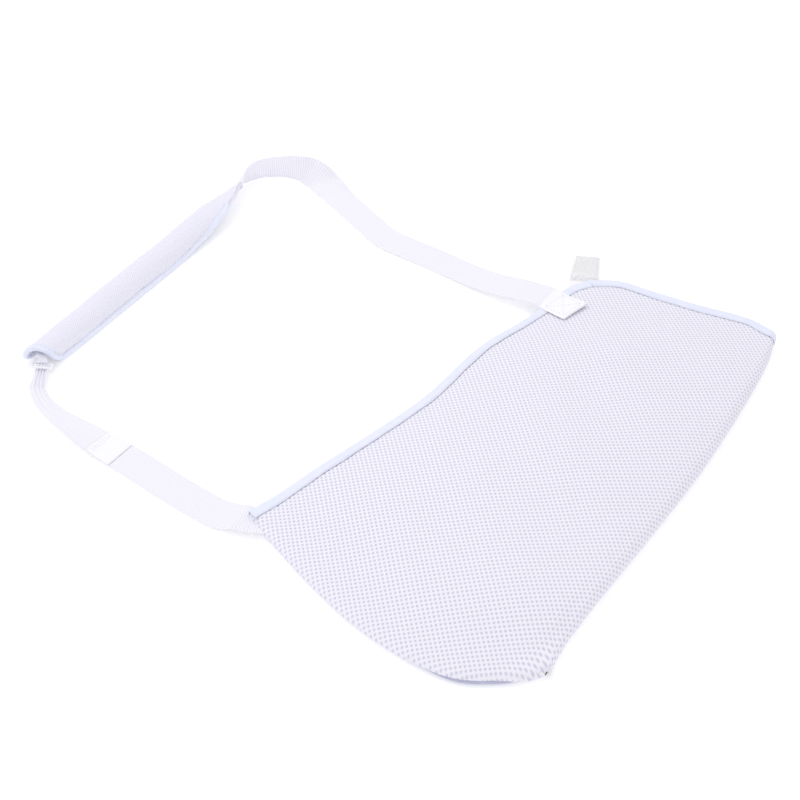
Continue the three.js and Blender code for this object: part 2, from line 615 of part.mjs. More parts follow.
// A layer of the pad between two offsets from its middle; trim steps are left out at the ends and the edges.
function padLayer(low, high, trim) {
  const rows = padSteps.slice(trim > 0 ? CORNER_STEPS.length : 0, padSteps.length - trim);
  const grid = rows.map((t) => {
    const row = [];
    for (let j = trim; j <= PAD_COLUMNS - trim; j += 1) row.push(padFrame(t, 2 * (j / PAD_COLUMNS - 0.5) * padReach(t)));
    return row;
  });
  return slab(grid, low, high);
}

// One tape round the pad: along the near edge, round the lower end and back along the far edge.
function padBinding() {
  const places = [];
  const bend = 8;
  const along = padSteps.slice(padSteps.length - 1 - PAD_ROWS, padSteps.length - PAD_ROWS + PAD_BOUND);
  const round = (i) => {
    const a = degrees(90 * (i / bend));
    return [PAD_CORNER * (1 - Math.sin(a)), -0.5 + PAD_CORNER_SIDE * (1 - Math.cos(a))];
  };
  for (let i = along.length - 1; i > 0; i -= 1) places.push([along[i], -0.5]);
  for (let i = 0; i <= bend; i += 1) places.push(round(i));
  const side = 0.5 - PAD_CORNER_SIDE;
  for (let i = 1; i < 6; i += 1) places.push([0, lerp(-side, side, i / 6)]);
  for (let i = bend; i >= 0; i -= 1) places.push([round(i)[0], -round(i)[1]]);
  for (let i = 1; i < along.length; i += 1) places.push([along[i], 0.5]);
  const frames = places.map(([t, s]) => padFrame(t, s));
  const outlined = withOutward(frames.map((f) => f.point), frames.map((f) => f.normal), -1);
  return channel(outlined, PAD_HALF + PAD_SLACK, PAD_BIND_DEPTH);
}

// ---- the closure tab --------------------------------------------------------------------------------------
const closureAhead = new THREE.Vector3(Math.cos(degrees(CLOSURE_HEADING)), Math.sin(degrees(CLOSURE_HEADING)), 0);

function closureFrames(places) {
  const across = new THREE.Vector3().crossVectors(closureAhead, UP);
  return places.map(([length, height], i) => {
    const [aheadLength, aheadHeight] = places[Math.min(i + 1, places.length - 1)];
    const [backLength, backHeight] = places[Math.max(i - 1, 0)];
    const ahead = closureAhead.clone().multiplyScalar(aheadLength - backLength);
    ahead.z = aheadHeight - backHeight;
    const normal = new THREE.Vector3().crossVectors(across, ahead.normalize()).normalize();
    const point = CLOSURE_HINGE.clone().addScaledVector(closureAhead, length);
    point.z = height;
    return { point, across, normal, width: CLOSURE_WIDTH };
  });
}

// The part sewn on the back panel's inside, out of the mouth and up to the fold line.
function closureAnchor() {
  const top = CLOSURE_HINGE.z - WEB_THICK / 2;
  const sewn = [[-36, MOUTH_MID], [-24, MOUTH_MID], [-8, MOUTH_MID]];
  const places = [...sewn, [-4.8, 6.25], [-2.8, 7.2], [-1.4, top], [-0.5, top]];
  return ribbon(closureFrames(places), -WEB_THICK / 2, WEB_THICK / 2);
}

function closurePlaces(from, to, steps) {
  const top = CLOSURE_HINGE.z - WEB_THICK / 2;
  return Array.from({ length: steps + 1 }, (_, i) => {
    const length = lerp(from, to, i / steps);
    return [length, top - CLOSURE_DROOP * (length / CLOSURE_LENGTH)];
  });
}

function closureTab() {
  return ribbon(closureFrames(closurePlaces(GAP, CLOSURE_LENGTH, 2)), -WEB_THICK / 2, WEB_THICK / 2);
}

function closureHook() {
  const frames = closureFrames(closurePlaces(CLOSURE_LENGTH - HOOK_LENGTH, CLOSURE_LENGTH - HOOK_MARGIN, 1));
  frames.forEach((frame) => { frame.width = CLOSURE_WIDTH - 2 * HOOK_MARGIN; });
  return ribbon(frames, WEB_THICK / 2 + GAP, WEB_THICK / 2 + GAP + HOOK_THICK);
}

// ---- assembly -----------------------------------------------------------------------------------------------
const sling = new THREE.Group();

function add(name, geometry, color, roughness) {
  const mesh = new THREE.Mesh(geometry, new THREE.MeshStandardMaterial({ color, roughness, metalness: 0 }));
  mesh.name = name;
  sling.add(mesh);
}

add('pouch_front_panel', frontPanel(), WHITE_MESH, 0.9);
add('pouch_back_panel', backPanel(), WHITE_MESH, 0.9);
add('mouth_binding', mouthBinding(), TAPE_BLUE, 0.7);
add('elbow_seam', elbowSeam(), TAPE_BLUE, 0.8);
add('lower_strap_end', lowerStrapEnd(), WEB_WHITE, 0.8);
add('front_tab', frontTab(), WEB_WHITE, 0.8);
add('front_tab_stitch', boxStitch(), THREAD_WHITE, 0.6);
add('lower_strap', lowerStrap(), WEB_WHITE, 0.8);
add('strap_tail', strapTail(), WEB_WHITE, 0.8);
add('tail_hem', tailHem(), WEB_WHITE, 0.8);
add('tail_hem_stitch', hemStitch(), THREAD_WHITE, 0.6);
add('buckle', buckle(), BUCKLE_WHITE, 0.2);
add('pad_face', padLayer(PAD_CORE / 2 + GAP, PAD_HALF, 0), WHITE_MESH, 0.9);
add('pad_core', padLayer(-PAD_CORE / 2, PAD_CORE / 2, 1), WHITE_MESH, 0.9);
add('pad_back', padLayer(-PAD_HALF, -PAD_CORE / 2 - GAP, 0), WHITE_MESH, 0.9);
add('pad_binding', padBinding(), TAPE_BLUE, 0.7);
add('pad_loop', padLoop(), WEB_WHITE, 0.8);
add('upper_strap', upperStrap(), WEB_WHITE, 0.8);
add('upper_strap_stitch', padStitch(), THREAD_WHITE, 0.6);
add('closure_anchor', closureAnchor(), WEB_WHITE, 0.8);
add('closure_tab', closureTab(), WEB_WHITE, 0.8);
add('closure_hook', closureHook(), HOOK_GREY, 0.95);

const box = new THREE.Box3().setFromObject(sling);
const middle = box.getCenter(new THREE.Vector3());
sling.position.set(-middle.x, -middle.y, -box.min.z);

export default sling;
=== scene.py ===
# Arm sling on a white table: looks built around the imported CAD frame.
# The shapes are worked out in the pouch's own frame, in millimetres: X runs from the elbow to the hand, along
# the fold, Y from the fold to the mouth, and Z up. put() moves them into the row frame, in metres.
import json
import math

import bpy
import numpy as np
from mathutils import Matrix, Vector

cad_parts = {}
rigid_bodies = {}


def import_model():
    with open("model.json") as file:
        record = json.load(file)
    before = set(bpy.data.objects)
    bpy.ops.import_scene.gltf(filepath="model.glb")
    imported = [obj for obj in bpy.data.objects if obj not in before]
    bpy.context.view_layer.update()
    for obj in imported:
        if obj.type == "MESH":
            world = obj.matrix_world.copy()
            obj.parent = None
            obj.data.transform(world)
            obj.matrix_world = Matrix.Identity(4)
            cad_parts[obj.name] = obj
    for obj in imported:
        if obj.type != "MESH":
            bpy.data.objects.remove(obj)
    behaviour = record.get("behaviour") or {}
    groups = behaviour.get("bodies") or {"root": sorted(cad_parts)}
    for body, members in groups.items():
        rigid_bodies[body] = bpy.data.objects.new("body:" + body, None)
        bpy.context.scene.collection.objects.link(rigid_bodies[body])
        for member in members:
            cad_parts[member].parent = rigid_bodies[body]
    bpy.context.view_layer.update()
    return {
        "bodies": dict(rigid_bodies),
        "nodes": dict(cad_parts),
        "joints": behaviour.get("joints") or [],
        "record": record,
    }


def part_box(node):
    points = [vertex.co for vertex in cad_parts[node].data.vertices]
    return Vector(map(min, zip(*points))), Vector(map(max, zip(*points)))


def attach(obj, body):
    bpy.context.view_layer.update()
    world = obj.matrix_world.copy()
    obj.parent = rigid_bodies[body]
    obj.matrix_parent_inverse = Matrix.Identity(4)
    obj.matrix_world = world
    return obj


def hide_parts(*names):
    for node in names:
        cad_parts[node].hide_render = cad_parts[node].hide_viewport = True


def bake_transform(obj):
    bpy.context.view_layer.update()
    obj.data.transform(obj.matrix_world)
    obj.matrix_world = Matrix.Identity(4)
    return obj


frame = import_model()

# ---- driving dimensions, in millimetres, the same as the CAD's ----
MESH = 3.0
TAPE = 0.6
SLACK = 0.7
WEB = 1.4
WEB_WIDTH = 30.0
FLOOR_RISE = TAPE + SLACK
BACK_MID = FLOOR_RISE + MESH / 2
EDGE_MID = 10.5
MOUTH_MID = (BACK_MID + EDGE_MID) / 2
FOLD_RADIUS, HAND_RADIUS, SEAM_RADIUS = 8.0, 5.0, (EDGE_MID - BACK_MID) / 2
PUFF = 11.0
MOUTH_GAPE = 4.0
SEAM_Z = 5.6  # height of the seam along the elbow
SEAM_ROLL = 10.0  # how far in from the seam the panel starts to roll down
PANEL_RUN = 450  # the panel's length, by which u is counted in millimetres
CORNER_PULL = (-4.0, -4.0)  # how far the corner between the fold and the elbow seam is drawn out

FOLD_LINE = [(0, -1), (75, -5), (150, -10), (235, -14), (335, -12), (392, -7), (423, 0)]
MOUTH_LINE = [(-9, 268), (43, 252), (115, 232), (177, 218), (260, 211), (336, 193), (375, 187), (397, 175)]
ELBOW_LINE = [(-19, 11), (-36, 31), (-47, 53), (-52, 92), (-47.5, 140), (-32, 199), (-18.5, 238)]
HAND_LINE = [(426.5, 24), (425, 42), (419, 76), (414, 121), (411, 150)]

TIP_HINGE = np.array([-12, 274, 7.35])
TAB_HINGE = np.array([352, 199, 15.0])

LOWER_STRAP = [
    (-14, 281, 4.4, 0, 29), (-15.5, 291, 1.9, 0, 30), (-16, 303, 1.0, 0, 30), (-14.5, 343, 1.0, 0, 30),
    (-11.5, 385, 1.0, 0, 30), (-10.5, 414, 1.4, 2, 30), (-10.3, 438, 4.2, 12, 30), (-10, 460, 6.8, 24, 28.5),
    (-8, 482, 8.2, 32, 25), (-3.5, 498, 9.6, 34, 19), (3.5, 510, 10.8, 30, 14.5),
]
UPPER_STRAP = [
    (332, 546, 15.0, -54, 30), (343, 547.5, 15.4, -64, 30), (355, 546, 15.2, -72, 30),
    (367, 540, 15.1, -75, 30), (378.5, 527.5, 15.1, -78, 30), (386.5, 510, 15.5, -92, 30),
    (390.5, 492, 13.0, -126, 30), (389, 472, 5.6, -164, 30), (381, 448, 1.5, -180, 30),
    (366.5, 410, 1.2, -180, 30), (355, 379, 2.2, -180, 30), (353.5, 352, 2.6, -180, 30),
    (354, 318, 2.0, -180, 30), (351.5, 282, 3.2, -180, 30), (350, 252, 6.6, -180, 30),
    (350.5, 226, 11.8, -180, 30),
]
TAB_STATIONS = [
    (351.6, 193, 14.4, 0, 30), (350, 186.5, 14.9, 0, 31), (348, 179, 16.4, 0, 31), (346, 170.5, 18.1, 0, 32),
    (344, 162.5, 19.7, 0, 32),
]
TAIL_GAP, TAIL_LENGTH, HEM_LENGTH = 0.6, 138.0, 26.0

BUCKLE_PLACE = np.array([26, 526, 8.6])
BUCKLE_HEADING, BUCKLE_ROLL = 36.0, 8.0
SLIDER_RISE = 3.48  # the slider is drawn this far above the middle of the CAD's
BUCKLE_WEB, LOOP_WIDTH, LOOP_THICK = 10.5, 8.0, 0.8
WRAP = [(-12, 3.2), (-8, 3.4), (-6.2, 3.35), (-4.5, 2.7), (-3.6, 1.5), (-3.1, 0), (-2.6, -1.5), (-1.4, -2.6),
        (0, -2.9), (1.4, -2.6), (2.5, -1.5), (2.6, 0), (2.6, 1.6), (2.5, 3.5), (1.9, 4.9), (0.7, 5.4)]
PAD_LOOP = [
    (24, 4.7, 2.2), (18, 4.5, 2.2), (13, 4.3, 2.1), (10, 3.9, 1.3), (7.8, 3.2, 0.3), (5.4, 2.8, 0),
    (4.2, 1.6, 0), (4.2, -1.4, 0), (5.0, -2.7, 0), (7.6, -2.9, 0.3), (9.5, -1.6, 1.1), (11.5, 0.2, 1.8),
    (14, 1.7, 2.2), (18, 2.8, 2.2), (24, 3.2, 2.2),
]

PAD_STATIONS = [
    (35, 538, 46, 164, 0), (66, 538.5, 46, 158, 0), (100, 539, 46, 152, 0), (160, 539, 46, 148, 0),
    (215, 539, 46, 144, 1), (250, 540, 44, 122, 7), (280, 542, 40, 76, 18), (303, 543.5, 36, 18, 31),
    (324, 544.5, 32, 4, 44),
]
PAD_HALF, PAD_REST, PAD_EDGE, PAD_SKEW = 2.0, 3.2, 6.5, 18.0
PAD_CORNER, PAD_CORNER_SIDE, PAD_BOUND = 0.045, 0.2, 0.83

CLOSURE_HINGE = np.array([405, 182.4, 9.2])
CLOSURE_HEADING, CLOSURE_WIDTH, CLOSURE_LENGTH = 26.0, 24.0, 34.0
CLOSURE_DROOP = 3.5
TAB_SINK = 0.7  # the sewn tab presses the mesh down by this
THIN = 0.8  # webbing of the tail, which lies tight on the strap
BINDING_DEPTH = 8.5

# The mesh's staggered dimples.
PITCH_X, PITCH_Y = 4.7, 5.2  # a cell holds one dimple at its corner and one in its middle
LATTICE_TURN = -4.0
DIMPLE_RADIUS, DIMPLE_DEPTH = 1.5, 0.55

# ---- places ----
buckle_low, buckle_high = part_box("buckle")
SHIFT = np.array((buckle_low + buckle_high) / 2) * 1000 - BUCKLE_PLACE
UP = np.array([0.0, 0.0, 1.0])


def put(points):
    """Points in the pouch's frame in millimetres, moved into the row frame in metres."""
    return (np.asarray(points, float) + SHIFT) / 1000


def unit(v):
    v = np.asarray(v, float)
    return v / np.maximum(np.linalg.norm(v, axis=-1, keepdims=True), 1e-9)


def smooth(low, high, value):
    t = np.clip((value - low) / (high - low), 0, 1)
    return t * t * (3 - 2 * t)


def mix(a, b, f):
    return a + (b - a) * f


def pair(a, b):
    return np.broadcast_arrays(np.asarray(a, float), np.asarray(b, float))


def runs_of(points):
    """Each point's distance along the line through them."""
    return np.concatenate([[0], np.cumsum(np.linalg.norm(np.diff(points, axis=0), axis=1))])


def between(want, runs, points):
    """The points at these distances."""
    return np.stack([np.interp(want, runs, points[:, k]) for k in range(3)], -1)


class Line:
    """A centripetal Catmull-Rom line through points."""

    def __init__(self, points):
        p = np.array([(*q, 0)[:3] if len(q) == 2 else q[:3] for q in points], float)
        self.p = np.vstack([2 * p[0] - p[1], p, 2 * p[-1] - p[-2]])
        self.count = len(p) - 1
        marks = np.linspace(0, 1, 401)
        steps = np.linalg.norm(np.diff(self.at(marks), axis=0), axis=1)
        self.marks, self.runs = marks, np.concatenate([[0], np.cumsum(steps)])
        self.length = self.runs[-1]

    def at(self, t):
        t = np.asarray(t, float)
        place = np.clip(t, 0, 1) * self.count
        k = np.minimum(place.astype(int), self.count - 1)
        w = (place - k)[..., None]
        a, b, c, d = (self.p[k + i] for i in range(4))
        d0, d1, d2 = (np.sqrt(np.linalg.norm(q, axis=-1, keepdims=True)) for q in (b - a, c - b, d - c))
        t1 = ((b - a) / d0 - (c - a) / (d0 + d1) + (c - b) / d1) * d1
        t2 = ((c - b) / d1 - (d - b) / (d1 + d2) + (d - c) / d2) * d1
        return b + t1 * w + (-3 * b + 3 * c - 2 * t1 - t2) * w**2 + (2 * b - 2 * c + t1 + t2) * w**3

    def even(self, share):
        """The place at this share of the line's length."""
        return self.at(np.interp(np.asarray(share, float) * self.length, self.runs, self.marks))


# ---- the pouch's surface ----
fold_line = Line(FOLD_LINE)
mouth_line = Line(MOUTH_LINE)


def fold_radius(u):
    start = mix(SEAM_RADIUS, FOLD_RADIUS, smooth(0, 0.16, u))
    return mix(start, HAND_RADIUS, smooth(0.8, 1, u))


def fold_inner(u):
    p = fold_line.even(u)
    p[..., 1] += fold_radius(u)
    return p


elbow_line = Line([tuple(fold_inner(np.array(0.0))[:2]), *ELBOW_LINE, MOUTH_LINE[0]])
hand_line = Line([tuple(fold_inner(np.array(1.0))[:2]), *HAND_LINE, MOUTH_LINE[-1]])


def plan(u, v):
    """A place on the panels seen from above: u from elbow to hand, v from fold to mouth."""
    u, v = pair(u, v)
    a, b = u[..., None], v[..., None]
    place = fold_inner(u) * (1 - b) + mouth_line.even(u) * b
    place = place + elbow_line.even(v) * (1 - a) + hand_line.even(v) * a
    corner = [fold_inner(np.array(end)) for end in (0.0, 1.0)] + [mouth_line.even(end) for end in (0.0, 1.0)]
    place = place - corner[0] * (1 - a) * (1 - b) - corner[1] * a * (1 - b)
    return place - corner[2] * (1 - a) * b - corner[3] * a * b


def cloth(u, v):
    """The middle of the front mesh, from the fold's lower lip (v = -1) over the fold (0) to the mouth (1)."""
    u, v = pair(u, v)
    place = plan(u, np.maximum(v, 0))
    w = np.clip(v, 0, 1)
    radius = fold_radius(u)
    fold_top = BACK_MID + 2 * radius
    puff = PUFF * smooth(0, 0.22, u) * (1 - smooth(0.72, 1, u)) * 4 * w * (1 - w)
    gape = MOUTH_GAPE * smooth(0.06, 0.2, u) * (1 - smooth(0.62, 0.8, u)) * w * w
    top = EDGE_MID + (fold_top - EDGE_MID) * (1 - w) ** 1.5 + puff + gape
    angle = np.pi / 2 + np.pi * np.minimum(v, 0)
    place[..., 1] -= np.where(v < 0, radius * np.cos(angle), 0)
    place[..., 2] = np.where(v < 0, BACK_MID + radius + radius * np.sin(angle), top)
    return place


def cloth_normal(u, v):
    e = 0.004
    along = cloth(np.minimum(u + e, 1), v) - cloth(np.maximum(u - e, 0), v)
    across = cloth(u, np.minimum(v + e, 1)) - cloth(u, np.maximum(v - e, -1))
    return unit(np.cross(along, across))


def find_uv(x, y):
    """u and v of places on the plan, by Newton's method, and v below 0 where y lies beyond the fold."""
    u = np.clip((x + 40) / 460, 0, 1)
    v = np.clip(y / 240, 0, 1)
    e = 1e-3
    for step in range(9):
        p = plan(u, v)
        du = (plan(np.minimum(u + e, 1), v) - plan(np.maximum(u - e, 0), v)) / (
            np.minimum(u + e, 1) - np.maximum(u - e, 0))[..., None]
        dv = (plan(u, np.minimum(v + e, 1)) - plan(u, np.maximum(v - e, 0))) / (
            np.minimum(v + e, 1) - np.maximum(v - e, 0))[..., None]
        rx, ry = x - p[..., 0], y - p[..., 1]
        det = du[..., 0] * dv[..., 1] - du[..., 1] * dv[..., 0]
        det = np.where(np.abs(det) < 1, 1, det)
        u = np.clip(u + (rx * dv[..., 1] - ry * dv[..., 0]) / det, -0.03, 1.03)
        v = np.clip(v + (ry * du[..., 0] - rx * du[..., 1]) / det, -0.03, 1.03)
        inside_u, inside_v = np.clip(u, 0, 1), np.clip(v, 0, 1)
        if step < 8:
            u, v = inside_u, inside_v
    marks = np.linspace(0, 1, 400)
    inner = fold_inner(marks)
    fold_u = np.interp(x, inner[:, 0], marks)
    lip = np.interp(fold_u, marks, inner[:, 1])
    beyond = (lip - y) / (np.pi * fold_radius(fold_u))
    below = beyond > 0
    outside = (x < inner[0, 0] - 2.6) | (x > inner[-1, 0] + 1)
    return np.where(below, np.where(outside, -9, fold_u), u), np.where(below, -beyond, v)


def lattice(step_x, step_y, low, high):
    """A grid of plan places lined up with the dimples, and each place's coordinates along the dimple rows."""
    turn = math.radians(LATTICE_TURN)
    c, s = math.cos(turn), math.sin(turn)
    span = np.array([[low[0], low[1]], [high[0], low[1]], [low[0], high[1]], [high[0], high[1]]])
    local = span @ np.array([[c, -s], [s, c]])
    i = np.arange(math.floor(local[:, 0].min() / step_x), math.ceil(local[:, 0].max() / step_x) + 1)
    j = np.arange(math.floor(local[:, 1].min() / step_y), math.ceil(local[:, 1].max() / step_y) + 1)
    gx, gy = np.meshgrid(i * step_x, j * step_y, indexing="ij")
    return gx * c - gy * s, gx * s + gy * c, gx, gy


def dimple(gx, gy):
    """1 in the middle of a dimple and 0 on the mesh between them."""
    deep = np.zeros_like(gx)
    for ox, oy in ((0, 0), (0.5, 0.5)):
        dx = (gx / PITCH_X + ox + 0.5) % 1 - 0.5
        dy = (gy / PITCH_Y + oy + 0.5) % 1 - 0.5
        away = np.hypot(dx * PITCH_X, dy * PITCH_Y)
        deep = np.maximum(deep, 1 - smooth(0.2, DIMPLE_RADIUS, away))
    return deep


# ---- mesh building ----
def new_object(name, points, faces, material, uv=None, smooth_faces=True):
    """An object from points in the pouch's frame; uv gives each point's texture place."""
    mesh = bpy.data.meshes.new(name)
    mesh.from_pydata(put(points).reshape(-1, 3).tolist(), [], [tuple(int(i) for i in f) for f in faces])
    mesh.validate()
    if uv is not None:
        layer = mesh.uv_layers.new(name="UVMap")
        index = np.zeros(len(mesh.loops), np.int32)
        mesh.loops.foreach_get("vertex_index", index)
        layer.data.foreach_set("uv", np.asarray(uv, np.float32).reshape(-1, 2)[index].ravel())
    if smooth_faces:
        mesh.polygons.foreach_set("use_smooth", [len(face.vertices) < 5 for face in mesh.polygons])
    mesh.materials.append(material)
    made = bpy.data.objects.new(name, mesh)
    bpy.context.scene.collection.objects.link(made)
    return made


def grid_faces(rows, columns, closed=False):
    """Quads between rows of points; closed joins each row's last point to its first."""
    width = columns if closed else columns - 1
    i, j = np.meshgrid(np.arange(rows - 1), np.arange(width), indexing="ij")
    k = (j + 1) % columns
    quads = np.stack([i * columns + j, i * columns + k, (i + 1) * columns + k, (i + 1) * columns + j], -1)
    return quads.reshape(-1, 4)


def tube_faces(rows, columns):
    """Quads round a swept closed outline, with its two ends closed."""
    faces = [tuple(f) for f in grid_faces(rows, columns, True)]
    last = (rows - 1) * columns
    return faces + [tuple(range(columns - 1, -1, -1)), tuple(last + i for i in range(columns))]


def skin(name, keep, points, uv, material, flip=False):
    """A lattice grid's faces whose corners are all kept, as one object."""
    rows, columns = keep.shape
    quads = grid_faces(rows, columns)
    corner = points.reshape(-1, 3)[quads]
    area = np.linalg.norm(np.cross(corner[:, 2] - corner[:, 0], corner[:, 3] - corner[:, 1]), axis=1) / 2
    quads = quads[keep.ravel()[quads].all(axis=1) & (area > 0.01)]
    used = np.unique(quads)
    number = np.full(rows * columns, -1)
    number[used] = np.arange(len(used))
    quads = number[quads]
    if flip:
        quads = quads[:, ::-1]
    return new_object(name, points.reshape(-1, 3)[used], quads, material, uv.reshape(-1, 2)[used])


# ---- materials ----
class Shader:
    """A material's node tree, with a method for each kind of node used."""

    def __init__(self, name, base, roughness, **sockets):
        self.made = bpy.data.materials.new(name)
        self.made.use_nodes = True
        self.nodes, self.links = self.made.node_tree.nodes, self.made.node_tree.links
        self.inputs = self.nodes["Principled BSDF"].inputs
        self.inputs["Base Color"].default_value = (*base, 1)
        self.inputs["Roughness"].default_value = roughness
        for socket, value in sockets.items():
            self.inputs[socket.replace("_", " ")].default_value = value

    def set(self, value, socket):
        """A socket takes a number, or another node's output."""
        if isinstance(value, (int, float)):
            socket.default_value = value
        else:
            self.links.new(value, socket)

    def maths(self, operation, *values):
        node = self.nodes.new("ShaderNodeMath")
        node.operation = operation
        for i, value in enumerate(values):
            self.set(value, node.inputs[i])
        return node.outputs[0]

    def ramp(self, value, low, high, to_low=0.0, to_high=1.0):
        node = self.nodes.new("ShaderNodeMapRange")
        node.interpolation_type = "SMOOTHSTEP"
        names = ("Value", "From Min", "From Max", "To Min", "To Max")
        for name, part in zip(names, (value, low, high, to_low, to_high)):
            self.set(part, node.inputs[name])
        return node.outputs["Result"]

    def place(self):
        """The piece's own texture place in millimetres: the vector, and its two values."""
        source = self.nodes.new("ShaderNodeUVMap")
        source.uv_map = "UVMap"
        split = self.nodes.new("ShaderNodeSeparateXYZ")
        self.links.new(source.outputs[0], split.inputs[0])
        return source.outputs[0], split.outputs[0], split.outputs[1]

    def noise(self, vector, scale, detail=3.0):
        node = self.nodes.new("ShaderNodeTexNoise")
        for name, value in (("Scale", scale), ("Detail", detail), ("Vector", vector)):
            self.set(value, node.inputs[name])
        return node.outputs["Fac"]

    def blend(self, factor, a, b):
        node = self.nodes.new("ShaderNodeMix")
        node.data_type = "RGBA"
        self.links.new(factor, node.inputs["Factor"])
        for socket, colour in (("A", a), ("B", b)):
            target = [i for i in node.inputs if i.name == socket and i.type == "RGBA"][0]
            if isinstance(colour, tuple):
                target.default_value = (*colour, 1)
            else:
                self.links.new(colour, target)
        return [o for o in node.outputs if o.type == "RGBA"][0]

    def colour(self, value):
        self.links.new(value, self.inputs["Base Color"])

    def bump(self, height, strength, distance):
        node = self.nodes.new("ShaderNodeBump")
        for name, value in (("Strength", strength), ("Distance", distance), ("Height", height)):
            self.set(value, node.inputs[name])
        self.links.new(node.outputs[0], self.inputs["Normal"])


def spacer_material(name, ridge, hole_shade, pitch_x=PITCH_X, pitch_y=PITCH_Y, radius=1.25):
    """Knitted spacer mesh: staggered round dimples, coloured darker inside as painted shade, with fine yarn
    between them.
    """
    s = Shader(name, ridge, 0.8, Sheen_Weight=0.15, Specular_IOR_Level=0.25)
    vector, x, y = s.place()
    nearest = None
    for offset in (0.5, 1.0):
        parts = []
        for value, pitch in ((x, pitch_x), (y, pitch_y)):
            cell = s.maths("DIVIDE", value, pitch)
            cell = s.maths("ADD", cell, offset)
            cell = s.maths("FRACT", cell)
            cell = s.maths("SUBTRACT", cell, 0.5)
            cell = s.maths("MULTIPLY", cell, pitch)
            parts.append(s.maths("MULTIPLY", cell, cell))
        away = s.maths("SQRT", s.maths("ADD", *parts))
        nearest = away if nearest is None else s.maths("MINIMUM", nearest, away)
    uneven = s.noise(vector, 0.35, 2.0)
    size = s.maths("MULTIPLY_ADD", uneven, 0.5, radius - 0.25)
    share = s.maths("DIVIDE", nearest, size)
    deep = s.ramp(share, 0.35, 1.25, 1.0, 0.0)
    yarn = s.noise(vector, 2.2, 4.0)
    base = s.blend(s.ramp(yarn, 0.3, 0.7), tuple(0.93 * c for c in ridge), ridge)
    # Painted shade: the insides of the dimples are blended towards the darker second colour.
    colour = s.blend(deep, base, hole_shade)
    s.colour(colour)
    height = s.maths("MULTIPLY_ADD", deep, -1.0, s.maths("MULTIPLY", yarn, 0.35))
    s.bump(height, 0.35, 0.0006)
    return s.made


def webbing_material(name, base, dark):
    """Plain-woven webbing: a fine grid of yarns, with painted shade darkening the grooves between them."""
    s = Shader(name, base, 0.75, Sheen_Weight=0.1, Specular_IOR_Level=0.25)
    vector, x, y = s.place()
    across = s.maths("SINE", s.maths("MULTIPLY", x, math.pi / 1.6))
    along = s.maths("SINE", s.maths("MULTIPLY", y, math.pi / 2.3))
    weave = s.maths("MULTIPLY", across, along)
    rib = s.maths("ABSOLUTE", weave)
    yarn = s.noise(vector, 1.5, 4.0)
    # Painted shade: the grooves between the yarns are blended towards the darker colour.
    gap = s.ramp(rib, 0.02, 0.45, 1.0, 0.0)
    soft = s.maths("MULTIPLY", gap, s.ramp(yarn, 0.2, 0.8, 0.55, 1.0))
    colour = s.blend(soft, base, dark)
    s.colour(colour)
    height = s.maths("MULTIPLY_ADD", weave, 0.5, s.maths("MULTIPLY", yarn, 0.4))
    s.bump(height, 0.4, 0.0004)
    return s.made


def tape_material(name, base, dark):
    """Smooth binding tape with a faint fine weave."""
    s = Shader(name, base, 0.6, Sheen_Weight=0.15, Specular_IOR_Level=0.35)
    vector, _, y = s.place()
    thread = s.maths("SINE", s.maths("MULTIPLY", y, 2 * math.pi / 0.9))
    cloudy = s.noise(vector, 0.12, 3.0)
    colour = s.blend(s.ramp(cloudy, 0.3, 0.75), dark, base)
    s.colour(colour)
    height = s.maths("MULTIPLY_ADD", thread, 0.3, s.maths("MULTIPLY", cloudy, 1.2))
    s.bump(height, 0.25, 0.0004)
    return s.made


def hook_material(name, base, dark):
    """Grey hook tape: a dense field of tiny hooks."""
    s = Shader(name, base, 0.9, Specular_IOR_Level=0.3)
    vector = s.place()[0]
    fuzz = s.noise(vector, 1.1, 5.0)
    colour = s.blend(s.ramp(fuzz, 0.35, 0.65), dark, base)
    s.colour(colour)
    s.bump(fuzz, 0.8, 0.0012)
    return s.made


def thread_material():
    s = Shader("thread", (0.86, 0.87, 0.97), 0.55, Sheen_Weight=0.2)
    source = s.nodes.new("ShaderNodeNewGeometry")
    twist = s.noise(source.outputs["Position"], 2500.0, 2.0)
    colour = s.blend(twist, (0.74, 0.76, 0.90), (0.92, 0.93, 1.0))
    s.colour(colour)
    s.bump(twist, 0.3, 0.0002)
    return s.made


def plastic_material():
    coat = {"Specular_IOR_Level": 0.5, "Coat_Weight": 0.3, "Coat_Roughness": 0.1}
    s = Shader("buckle_plastic", (0.90, 0.90, 0.95), 0.22, **coat)
    source = s.nodes.new("ShaderNodeNewGeometry")
    cloudy = s.noise(source.outputs["Position"], 300.0, 3.0)
    s.links.new(s.ramp(cloudy, 0.2, 0.8, 0.18, 0.3), s.inputs["Roughness"])
    s.bump(cloudy, 0.08, 0.0002)
    return s.made


# Each spacer mesh's second colour, here and for the pad, is painted shade that darkens the insides of its
# dimples.
RIDGE, HOLE_SHADE = (0.88, 0.865, 0.95), (0.64, 0.63, 0.77)
mesh_cloth = spacer_material("spacer_mesh", RIDGE, HOLE_SHADE)
pad_cloth = spacer_material("pad_mesh", (0.87, 0.855, 0.955), (0.72, 0.71, 0.83), 2.4, 2.8, 0.75)
# The webbing's second colour is painted shade for the grooves between its yarns.
webbing = webbing_material("webbing", (0.90, 0.89, 0.955), (0.70, 0.69, 0.80))
# A lighter copy of the same webbing: painted light, for the strap's sewn tab, the tail's hem and the closure
# tab.
painted_lit_webbing = webbing_material("painted_lit_webbing", (0.95, 0.945, 0.97), (0.80, 0.79, 0.84))
tape = tape_material("binding_tape", (0.80, 0.82, 0.95), (0.76, 0.785, 0.94))
